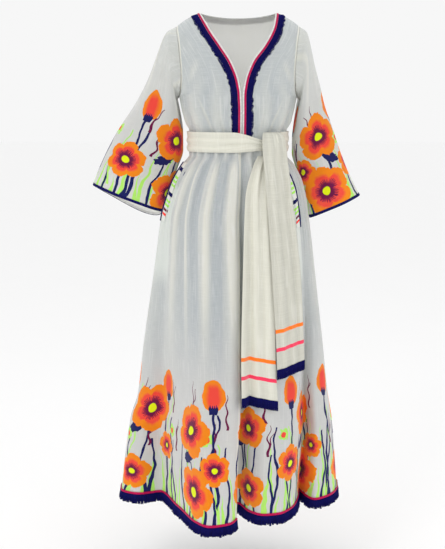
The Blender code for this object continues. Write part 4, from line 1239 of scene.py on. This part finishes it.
# Each pocket's mouth from its foot up, and the turns that its bag spans.
RIGHT_MOUTH = [(-0.560, 275.5), (-0.500, 274.5), (-0.400, 273.5)]
LEFT_MOUTH = [(-0.572, 65.5), (-0.545, 66.3), (-0.527, 66.0), (-0.483, 64.0), (-0.438, 59.5), (-0.415, 56.0)]
POCKETS = (
    ("right", 1, Table(("level", "turn"), RIGHT_MOUTH)),
    ("left", -1, Table(("level", "turn"), LEFT_MOUTH)),
)
POCKET_BAGS = {"left": (48, 66), "right": (272, 303)}
BAG_TOP = -0.44
BAG_FOOT = -0.745
BAG_DEPTH = 0.0022


def skirt_cut(turn, level):
    """Where a point of the skirt lies on the flat cloth."""
    return np.stack([np.interp(turn, hem_turns, hem_run), level - SKIRT_EDGE], axis=-1)


def on_skirt(turn):
    """Whether a turn lies between the edges of the left front and the right front."""
    return (turn > PANELS[0][1] * COLUMN_TURN) & (turn < PANELS[-1][2] * COLUMN_TURN)


def skirt_panel(first, last):
    """A panel's grid, the way out of its first corner, its flat places and its facts."""
    low = spaced([-0.60, SKIRT_EDGE], 0.0095)
    levels = np.concatenate([spaced([-0.3452, -0.60], 0.005)[:-1], low])
    turns = np.linspace(first, last, (last - first) * FINE + 1) * COLUMN_TURN
    level, turn = np.meshgrid(levels, turns, indexing="ij")
    grid = skirt_point(turn, level)
    normals = skirt_normals(turn, level)
    along = unit(np.gradient(grid, axis=1))
    grid[:, 0] += along[:, 0] * SEAM_GAP / 2
    grid[:, -1] -= along[:, -1] * SEAM_GAP / 2
    steps = np.linalg.norm(np.diff(grid, axis=1), axis=-1)
    reach = np.concatenate([np.zeros((len(levels), 1)), np.cumsum(steps, axis=1)], axis=1)
    edge = np.minimum(reach, reach[:, -1:] - reach)
    bag = np.zeros(grid.shape[:2])
    above_foot = 1 - smooth(-level, -BAG_FOOT - 0.075, -BAG_FOOT + 0.01)
    for begins, ends in POCKET_BAGS.values():
        inside = smooth(turn, begins, begins + 5) * (1 - smooth(turn, ends - 6, ends))
        bag += inside * smooth(-level, -BAG_TOP, -BAG_TOP + 0.05) * above_foot
    # The fold fact paints light on the crests of the gathers and pleats and shade in their valleys and
    # troughs.
    ridge = gathers(turn, level)[1] * 0.46 * (1 - 0.5 * smooth(-level, 0.65, 1.0)) + pleats(turn, level)[1]
    beside, below = np.ones(grid.shape[:2]), np.ones(grid.shape[:2])
    for _, toward, path in POCKETS:
        per_degree = np.linalg.norm(skirt_point(turn + 1, level) - grid, axis=-1)
        away = (turn - path.at(level, "turn")) * toward * per_degree
        near = np.abs(away) < 0.12
        beside = np.where(near, away, beside)
        below = np.where(near, path.keys[-1] - level, below)
    facts = {"edge": edge, "fold": ridge, "bag": bag, "beside": beside, "below": below}
    return grid, normals[0, 0], skirt_cut(turn, level), facts


skirt_cloth = voile("skirt voile", skirt_printed)
panels = {}
for name, first, last in PANELS:
    grid, away, cut, facts = skirt_panel(first, last)
    made = cloth(name + "_cloth", grid, cut, skirt_cloth, away, facts=facts, inside=lit_inner_side)
    panels[name] = sewn_in(made, "ivory_voile")


# Pockets
# Each side pocket's mouth is bound in a navy roll and faced with a pale strip, and its bag hangs inside
# the skirt.
POCKET_BINDING = 0.0045
POCKET_FACING = 0.0240


def pocket_finish():
    """The facing's voile, with the bars painted over it."""
    paint = Paint("pocket facing", 0.85)
    across, up, place = paint.flat()
    thread = woven(paint, place)
    base = paint.mix(paint.ease(thread, 0.7, 1.5) * 0.3, (0.74, 0.76, 0.72), (0.83, 0.83, 0.77))
    return paint.wear(bars(paint, base, up, across, place), thread, 0.25)


def pocket_strip(name, path, toward, begins, ends, lift, material):
    """A strip down the pocket's mouth, laid on the skirt."""
    level = spaced([path.keys[-1], path.keys[0]], 0.0022)[:, None]
    mouth = path.at(level, "turn")
    per_degree = np.linalg.norm(skirt_point(mouth + 1, level) - skirt_point(mouth, level), axis=-1)
    reach = np.linspace(begins, ends, max(4, int((ends - begins) / 0.0015)))
    turn = mouth + toward * reach / per_degree
    level = level + 0 * turn
    grid = skirt_point(turn, level) + skirt_normals(turn, level) * lift
    cut = np.stack(np.broadcast_arrays(reach, path.keys[-1] - level), axis=-1)
    return cloth(name, grid, cut, material, skirt_normals(turn, level)[0, 0], thick=0.0008)


facing_cloth = pocket_finish()
for hand, toward, path in POCKETS:
    level = spaced([path.keys[-1], path.keys[0]], 0.003)
    mouth = path.at(level, "turn")
    out = skirt_normals(mouth, level)
    aside = unit(skirt_point(mouth + toward, level) - skirt_point(mouth, level))
    middle = skirt_point(mouth, level) + aside * POCKET_BINDING / 2 + out * 0.0026
    strip = roll("pocket_binding_" + hand + "_cloth", middle, aside * 0.0028, out * 0.0020, navy_strip)
    sewn_in(strip, "navy_fringe")
    begins = POCKET_BINDING - 0.0008
    ends = begins + POCKET_FACING
    name = "pocket_facing_" + hand + "_cloth"
    strip = pocket_strip(name, path, toward, begins, ends, 0.0012, facing_cloth)
    sewn_in(strip, "ivory_voile")
    begins, ends = POCKET_BAGS[hand]
    levels = spaced([BAG_TOP, BAG_FOOT], 0.006)
    level, turn = np.meshgrid(levels, spaced([begins, ends], 0.5), indexing="ij")
    out = skirt_normals(turn, level)
    grid = skirt_point(turn, level) - out * BAG_DEPTH
    facts = {"edge": np.full(grid.shape[:2], 0.05), "fold": np.full(grid.shape[:2], 0.6)}
    name = "pocket_bag_" + hand + "_cloth"
    bag = cloth(name, grid, skirt_cut(turn, level), bodice_cloth, out[0, 0], facts=facts)
    sewn_in(bag, "ivory_voile")


# Hem trims
# A magenta piping sewn round the hem, and a thick navy brush fringe hanging from under it.
# The piping's top and foot above the skirt's edge.
PIPING = (0.0080, 0.0012)
PIPING_HALF = 0.0017
HEM_THREADS = 3000
HEM_LAYERS = 3
HEM_DROP = 0.0265
HEM_HEADING = (0.0016, -0.003, -0.0075, -0.012, -0.0165, -0.0205)
TUFT = 0.0065
# The points of a hanging thread, as shares of its fall.
FALL = (0, 0.45, 1.0)


def hung_threads(name, roots, out, stands, lean, drop, thin, stout):
    """Threads that hang from their roots. stands says how far out they are at each point of their fall."""
    side = np.cross(out, [0, 0, 1])
    down = np.array([0, 0, 1]) * drop
    paths = [roots + out * stand + side * lean * t - down * t for t, stand in zip(FALL, stands)]
    return strands(name, np.stack(paths, axis=1), np.repeat(out[:, None], 3, axis=1), thin, stout)


turns = np.interp(spaced([0.0005, hem_run[-1]], 0.004), hem_run, hem_turns)
turns = turns[on_skirt(turns)]
top, foot = (skirt_point(turns, SKIRT_EDGE + height) for height in PIPING)
out = skirt_normals(turns, SKIRT_EDGE + 0.003)
middle = (top + foot) / 2 + out * (PIPING_HALF + 0.0005)
piping = roll("hem_piping_cloth", middle, (top - foot) / 2, out * PIPING_HALF, magenta_strip)
sewn_in(piping, "magenta_piping")

turn, level = np.meshgrid(turns, SKIRT_EDGE + np.array(HEM_HEADING), indexing="xy")
grid = skirt_point(turn, level) + skirt_normals(turn, level) * 0.0008
heading = cloth("hem_fringe_heading", grid, skirt_cut(turn, level), navy_strip, out[0], thick=0.0006)
sewn_in(heading, "navy_fringe", "hem_fringe")

starts = draws(HEM_LAYERS * HEM_THREADS, lambda k: k // HEM_LAYERS + chance.random())[:, 0]
starts = hem_run[-1] * starts / HEM_THREADS
starts = starts[on_skirt(np.interp(starts, hem_run, hem_turns))]
turn = np.interp(starts, hem_run, hem_turns)
out = skirt_normals(turn, SKIRT_EDGE)
roots = skirt_point(turn, SKIRT_EDGE) + np.array([0, 0, 0.0008])
count = len(roots)
tuft = np.floor(starts / TUFT).astype(int)
tuft_drop = draws(tuft.max() + 1, lambda k: chance.gauss(-0.0010, 0.0013))[tuft]
to_middle = ((tuft + 0.5) * TUFT - starts)[:, None] * -0.25
lift = draws(count, lambda k: 0.0008 + 0.0008 * (k % HEM_LAYERS) + chance.uniform(0, 0.0004))
flare = draws(count, lambda k: chance.uniform(0.0, 0.0050))
lean = to_middle + draws(count, lambda k: chance.gauss(0, 0.0006))
drop = draws(count, lambda k: HEM_DROP - abs(chance.gauss(0, 0.0010)))
drop = np.minimum(drop + tuft_drop, SKIRT_EDGE - FRINGE_TIP)
stands = [lift + flare * t**1.5 for t in FALL]
made = hung_threads("hem_fringe_threads", roots, out, stands, lean, drop, 0.0014, 0.0021)
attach(made, "root")


# Sash
# A wide ivory cotton sash, folded lengthways into a band round the waist and tied at the left front.
# Its two ends hang down the skirt, each with an orange and a pink stripe and a navy fringe.
SASH_TOP = -0.3150
SASH_FOOT = -0.3690
SASH_RISE = 0.0056
SASH_RIPPLE = 0.0010
SASH_CLOTH = 0.0020
KNOT_TURN = 43
# The sash cotton's paler colour is painted light on the crests of its folds and the darker one is painted
# shade in their valleys; an uneven tone mixes them as well.
SASH_PALE_AND_LIT = (0.725, 0.715, 0.615)
SASH_DARK_AND_SHADED = (0.560, 0.555, 0.480)
STRIPES = ((0.054, (0.92, 0.045, 0.115)), (0.103, (1.0, 0.20, 0.012)))
STRIPE_WIDTH = 0.0100
# Each crease of the band: its two ends along it from the knot and down from its top edge, its half
# width, and its height.
SASH_CREASES = (
    ((-0.170, 0.040), (-0.034, 0.024), 0.0026, -0.0022),
    ((-0.130, 0.047), (-0.034, 0.035), 0.0022, -0.0020),
    ((-0.260, 0.020), (-0.090, 0.026), 0.0040, 0.0014),
    ((-0.110, 0.010), (-0.034, 0.015), 0.0026, 0.0018),
    ((0.050, 0.010), (0.200, 0.020), 0.0040, 0.0012),
    ((0.050, 0.030), (0.260, 0.038), 0.0035, -0.0014),
    ((-0.380, 0.040), (-0.230, 0.030), 0.0035, -0.0012),
)
BAND_PER_DEGREE = 0.0021


def sash_cotton(name, striped, shade=1.0):
    """Soft cotton, a little slubby, with two printed stripes near the ends, and painted light and shade on
    its folds. shade darkens it all over as painted shade.
    """
    paint = Paint(name, 0.82, 0.2)
    pale_and_lit, dark_and_shaded = (tuple(c * shade for c in colour) for colour in (SASH_PALE_AND_LIT, SASH_DARK_AND_SHADED))
    _, up, place = paint.flat()
    thread = woven(paint, place, 0.0014)
    # The fold fact paints light on the crests of the folds and shade in their valleys, and the noise adds an
    # uneven tone.
    tone_and_light = paint.noise(place, 14.0, 3.0) * 0.7 + paint.fact("fold") * 0.5
    base = paint.mix(tone_and_light, dark_and_shaded, pale_and_lit)
    base = paint.mix(paint.ease(thread, 0.7, 1.5) * 0.25, base, (0.93, 0.92, 0.86))
    if striped:
        for height, colour in STRIPES:
            mask = paint.function("ABSOLUTE", up - height) < STRIPE_WIDTH / 2
            base = paint.mix(mask, base, colour)
    return paint.wear(base, thread, 0.35)


def around_waist(turn, level, rise):
    angle = np.radians(turn)
    depth = np.where(np.cos(angle) > 0, SKIRT.at(WAIST, "front"), SKIRT.at(WAIST, "back"))
    x = (SKIRT.at(WAIST, "width") + rise) * np.sin(angle)
    return np.stack(np.broadcast_arrays(x, -(depth + rise) * np.cos(angle), level), axis=-1)


band_cotton = sash_cotton("sash cotton", False)
# The back tail's cotton is darkened to 0.84 as painted shade, for the tail that hangs on the shaded side.
tail_cotton = {
    "sash_tail_front": sash_cotton("striped sash cotton", True),
    "sash_tail_back": sash_cotton("striped sash cotton, painted shade", True, 0.84),
}

turn, share = np.meshgrid(np.arange(0, 360, 1.5), np.linspace(0, 1, 49), indexing="xy")
from_knot = (turn - KNOT_TURN + 180) % 360 - 180
squeeze = 1 - smooth(np.abs(from_knot), 4, np.where(from_knot < 0, 50, 14))
top = SASH_TOP - 0.024 * squeeze
foot = SASH_FOOT + 0.006 * squeeze
sway = 0.5 * np.sin(np.radians(2 * turn + 40)) + 0.35 * np.sin(np.radians(5 * turn))
layers = 5 * np.pi * share + sway * np.sin(np.pi * share) * 1.5
small = 0.0009 * (np.abs(np.cos(layers * 0.9 + 1.1)) ** 0.5) * np.sin(np.pi * share)
ripple = SASH_RIPPLE * (1 + np.cos(layers)) + small
grid = around_waist(turn, top + (foot - top) * share, SASH_RISE + ripple)
along_band = np.radians(from_knot) * SKIRT.at(WAIST, "width")
near_knot = np.stack([along_band, share * (SASH_TOP - SASH_FOOT)], axis=-1)
grid, ridge = creased(grid, unit(grid * np.array([1, 1, 0])), SASH_CREASES, near_knot)
cut = flat_places(np.concatenate([turn[0], [360]]) * BAND_PER_DEGREE, 0.3 - np.linspace(0, 0.054, 49))
# The fold fact paints light on the band's ripples and creases, and shade between them.
facts = {"fold": np.clip(ripple / 0.0025 + ridge, 0, 1)}
band = cloth("sash_band_cloth", grid, cut, band_cotton, (0, -1, 0), closed=True, facts=facts, thick=0.0016)
sewn_in(band, "ivory_sash_cotton")
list(panels.values())

# The knot from its foot up: half its width in degrees, and how far it bulges.
KNOT = Table(
    ("level", "width", "bulge"),
    [
        (-0.3765, 9.0, 0.0015),
        (-0.3680, 10.0, 0.0080),
        (-0.3560, 11.5, 0.0120),
        (-0.3440, 12.5, 0.0130),
        (-0.3300, 12.0, 0.0110),
        (-0.3220, 10.5, 0.0070),
        (-0.3175, 8.5, 0.0015),
    ],
)
KNOT_RISE = SASH_RISE + 2 * SASH_RIPPLE + SASH_CLOTH / 2 + SEAM_GAP

levels = np.linspace(KNOT.keys[-1], KNOT.keys[0], 49)
share, level = np.meshgrid(np.linspace(-1, 1, 49), levels, indexing="xy")
turn = KNOT_TURN + 1 + share * KNOT.at(level, "width")
fade = np.clip(1 - share**4, 0.1, 1)
bulge = KNOT.at(level, "bulge") * fade
pull = np.cos(3 * np.pi * share + 1.4 * (level - WAIST) / 0.03)
bulge = bulge * (1 + 0.14 * pull) + 0.0012 * np.cos(7 * np.pi * share + 2.0) * fade
grid = around_waist(turn, level, KNOT_RISE + np.maximum(bulge, 0.0012))
cut = np.stack([share * 0.03, level - KNOT.keys[0]], axis=-1)
# The fold fact paints light on the crests of the knot's ripples and shade between them.
facts = {"fold": np.clip(0.5 + 0.5 * pull, 0, 1)}
knot = cloth("sash_knot_cloth", grid, cut, band_cotton, (0.5, -1, 0), facts=facts, thick=0.0018)
sewn_in(knot, "ivory_sash_cotton")

# Sash tails, from the knot down: left and right edges, how far each stands off the skirt or band
# beneath it, and how deep its folds are.
TAILS = {
    "sash_tail_front": Table(
        ("level", "left", "right", "stand", "fold"),
        [
            (-1.008, 0.0090, 0.1060, 0.0050, 0.0030),
            (-0.903, 0.0075, 0.1000, 0.0050, 0.0035),
            (-0.700, 0.0115, 0.0960, 0.0050, 0.0040),
            (-0.568, 0.0150, 0.0920, 0.0050, 0.0050),
            (-0.480, 0.0190, 0.0890, 0.0050, 0.0060),
            (-0.449, 0.0250, 0.0880, 0.0050, 0.0060),
            (-0.420, 0.0340, 0.0880, 0.0050, 0.0050),
            (-0.395, 0.0430, 0.0920, 0.0040, 0.0020),
            (-0.3778, 0.0520, 0.1000, 0.0000, 0.0000),
        ],
    ),
    "sash_tail_back": Table(
        ("level", "left", "right", "stand", "fold"),
        [
            (-0.940, 0.1035, 0.1800, 0.0090, 0.0030),
            (-0.878, 0.1010, 0.1770, 0.0090, 0.0040),
            (-0.705, 0.0900, 0.1680, 0.0100, 0.0045),
            (-0.598, 0.0830, 0.1570, 0.0110, 0.0045),
            (-0.493, 0.0750, 0.1440, 0.0125, 0.0040),
            (-0.430, 0.0700, 0.1370, 0.0130, 0.0030),
            (-0.395, 0.0670, 0.1330, 0.0120, 0.0010),
            (-0.370, 0.0650, 0.1310, 0.0040, 0.0000),
            (-0.345, 0.0640, 0.1285, 0.0000, 0.0000),
            (-0.328, 0.0640, 0.1235, 0.0000, 0.0000),
            (-0.319, 0.0650, 0.1165, 0.0000, 0.0000),
            (-0.3150, 0.0680, 0.1080, 0.0000, 0.0000),
        ],
    ),
}
# How much lower a tail's right corner ends than its left one, and its folds' number and phase.
TAIL_TILT = {"sash_tail_front": 0.018, "sash_tail_back": -0.014}
TAIL_FOLDS = {"sash_tail_front": (2.5, 0.4), "sash_tail_back": (3, 1.2)}
TAIL_CLOTH = 0.0015


def body_front(x, level):
    """The foremost y of the skirt, or of the knotted band above it, near a point."""
    turn = np.concatenate([np.arange(-9, 88, 1.0), np.arange(322, 363, 1.0)])
    near = skirt_point(turn, min(level, -0.382))
    close = np.abs(near[:, 0] - x) < 0.024
    front = near[close, 1].min() if close.any() else 0.0
    if level > -0.392:
        bulge = KNOT.at(level, "bulge") if level > KNOT.keys[0] else 0.0
        rise = KNOT_RISE + 1.12 * bulge + TAIL_CLOTH / 2 + 0.0009
        sine = np.clip(x / (SKIRT.at(WAIST, "width") + rise), -0.97, 0.97)
        waist = -(SKIRT.at(WAIST, "front") + rise) * np.sqrt(1 - sine**2)
        front = waist if level > -0.380 else min(front, waist)
    return front


def between_points(spots, columns, points):
    """The points of a line at places between its own."""
    return np.stack([np.interp(spots, columns, points[:, k]) for k in range(3)], axis=-1)


def between_edges(table, level, share):
    """The x of a tail's point, at a share of the way from its left edge to its right."""
    left = table.at(level, "left")
    return left + (table.at(level, "right") - left) * share


def tail_grid(name):
    """A tail hung from the knot: worked out on few rows, then made fine between them."""
    table = TAILS[name]
    count, phase = TAIL_FOLDS[name]
    bottom, top = table.keys[0], table.keys[-1]
    rows = np.array([-0.3150, -0.3175, -0.322, -0.330, -0.344, -0.356, -0.368, -0.3778, -0.395, -0.420])
    rows = np.concatenate([rows, [-0.449, -0.485, -0.530, -0.600, -0.690, -0.800, -0.900, -1.008]])
    rows = rows[(rows > bottom + 0.03) & (rows < top + 1e-6)]
    rows = np.concatenate([rows, [bottom]])
    level, share = np.meshgrid(rows, np.linspace(0, 1, 41), indexing="ij")
    x = between_edges(table, level, share)
    y = np.array([[body_front(a, b) for a, b in zip(xs, levels)] for xs, levels in zip(x, level)])
    y -= table.at(level, "stand")
    hung = rows < -0.36
    for _ in range(60):
        lifted = (y[:-2] + y[2:]) / 2
        y[1:-1] = np.where(hung[1:-1, None], np.minimum(y[1:-1], lifted), y[1:-1])
    fine = spaced([top, bottom], 0.0045)
    y = np.stack([np.interp(-fine, -rows, column) for column in y.T], axis=1)
    for _ in range(8):
        y[1:-1] = (y[:-2] + 2 * y[1:-1] + y[2:]) / 4
        y[:, 1:-1] = (y[:, :-2] + 2 * y[:, 1:-1] + y[:, 2:]) / 4
    level, share = np.meshgrid(fine, np.linspace(0, 1, 41), indexing="ij")
    x = between_edges(table, level, share)
    drift = 0.25 * np.sin(9 * level + phase)
    wave = (1 + np.cos(2 * np.pi * count * share + phase + drift)) / 2
    small = 0.18 * np.cos(2 * np.pi * (2.3 * count) * share + 3 * phase + 11 * level)
    y -= table.at(level, "fold") * (wave + small * np.sin(np.pi * share))
    fall = level - TAIL_TILT[name] * share * (top - level) / (top - bottom)
    width = table.at(bottom, "right") - table.at(bottom, "left")
    cut = np.stack([share * width, level - bottom], axis=-1)
    # The fold fact paints light on the crests of the tail's folds and shade in their valleys.
    return np.stack([x, y, fall], axis=-1), cut, {"fold": np.clip(wave, 0, 1)}


TAIL_THREADS = 190
TAIL_LAYERS = 3
TAIL_DROP = 0.0275
for name in TAILS:
    grid, cut, facts = tail_grid(name)
    tail = cloth(name + "_cloth", grid, cut, tail_cotton[name], (0, -1, 0), facts=facts, thick=0.0010)
    sewn_in(tail, "ivory_sash_cotton")
    columns = np.arange(grid.shape[1])
    away = grid_normals(grid)[-1]
    away = away * np.sign(-away[:, 1:2])
    count = TAIL_LAYERS * TAIL_THREADS
    spots = draws(count, lambda k: (k // TAIL_LAYERS + chance.random()) / TAIL_THREADS * columns[-1])[:, 0]
    roots = between_points(spots, columns, grid[-1]) + np.array([0, 0, 0.0012])
    out = unit(between_points(spots, columns, away))
    lift = draws(count, lambda k: (k % TAIL_LAYERS - 1) * 0.0008 + chance.uniform(-0.0002, 0.0002))
    lean = draws(count, lambda k: chance.gauss(0, 0.0014))
    drop = draws(count, lambda k: TAIL_DROP - abs(chance.gauss(0, 0.0014)))
    stands = [lift * (1 + t) for t in FALL]
    fringe = name.replace("sash_tail", "tail_fringe")
    made = hung_threads(fringe + "_threads", roots, out, stands, lean, drop, 0.0010, 0.0015)
    sewn_in(made, "navy_fringe", fringe)


# Floor, light and camera
# A plain pale floor under the hanging dress, broad soft studio light from the front and above, and a
# camera at the height of the chest, looking slightly down.
FLOOR_DROP = 0.22
CAMERA_PLACE = (-0.0419, -3.25, -0.21)
CAMERA_PITCH = 8.8
LENS = 77.11

bpy.ops.mesh.primitive_plane_add(size=60, location=(0, 0, FRINGE_TIP - FLOOR_DROP))
floor = bpy.context.object
floor.name = "floor"
paper = Paint("pale floor", 0.9)
spot = paper.node("ShaderNodeTexCoord", {}, {}, 3)
pale = paper.mix(paper.noise(spot, 3.0), (0.980, 0.980, 0.980), (0.990, 0.990, 0.990))
floor.data.materials.append(paper.wear(pale))

world = bpy.data.worlds.new("studio")
bpy.context.scene.world = world
world.use_nodes = True
world.node_tree.nodes["Background"].inputs["Color"].default_value = (1, 1, 1, 1)
world.node_tree.nodes["Background"].inputs["Strength"].default_value = 0.93
bpy.context.scene.view_settings.view_transform = "Standard"

for name, place, size, power in (
    ("key light", (-1.8, -3.0, 1.8), 1.2, 20),
    ("front light", (0.2, -3.6, 0.5), 1.2, 6),
    ("fill light", (2.4, -2.8, 0.6), 2.2, 7),
    ("top light", (0.2, 0.6, 2.6), 2.4, 10),
):
    light = bpy.data.lights.new(name, "AREA")
    light.size = size
    light.energy = power
    lamp = bpy.data.objects.new(name, light)
    lamp.location = place
    lamp.rotation_euler = (Vector((0, 0, -0.6)) - Vector(place)).to_track_quat("-Z", "Y").to_euler()
    bpy.context.scene.collection.objects.link(lamp)

camera = bpy.data.objects.new("camera", bpy.data.cameras.new("camera"))
camera.data.lens = LENS
camera.data.sensor_width = 36
camera.location = CAMERA_PLACE
camera.rotation_euler = (math.radians(90 - CAMERA_PITCH), 0, 0)
bpy.context.scene.collection.objects.link(camera)
bpy.context.scene.camera = camera
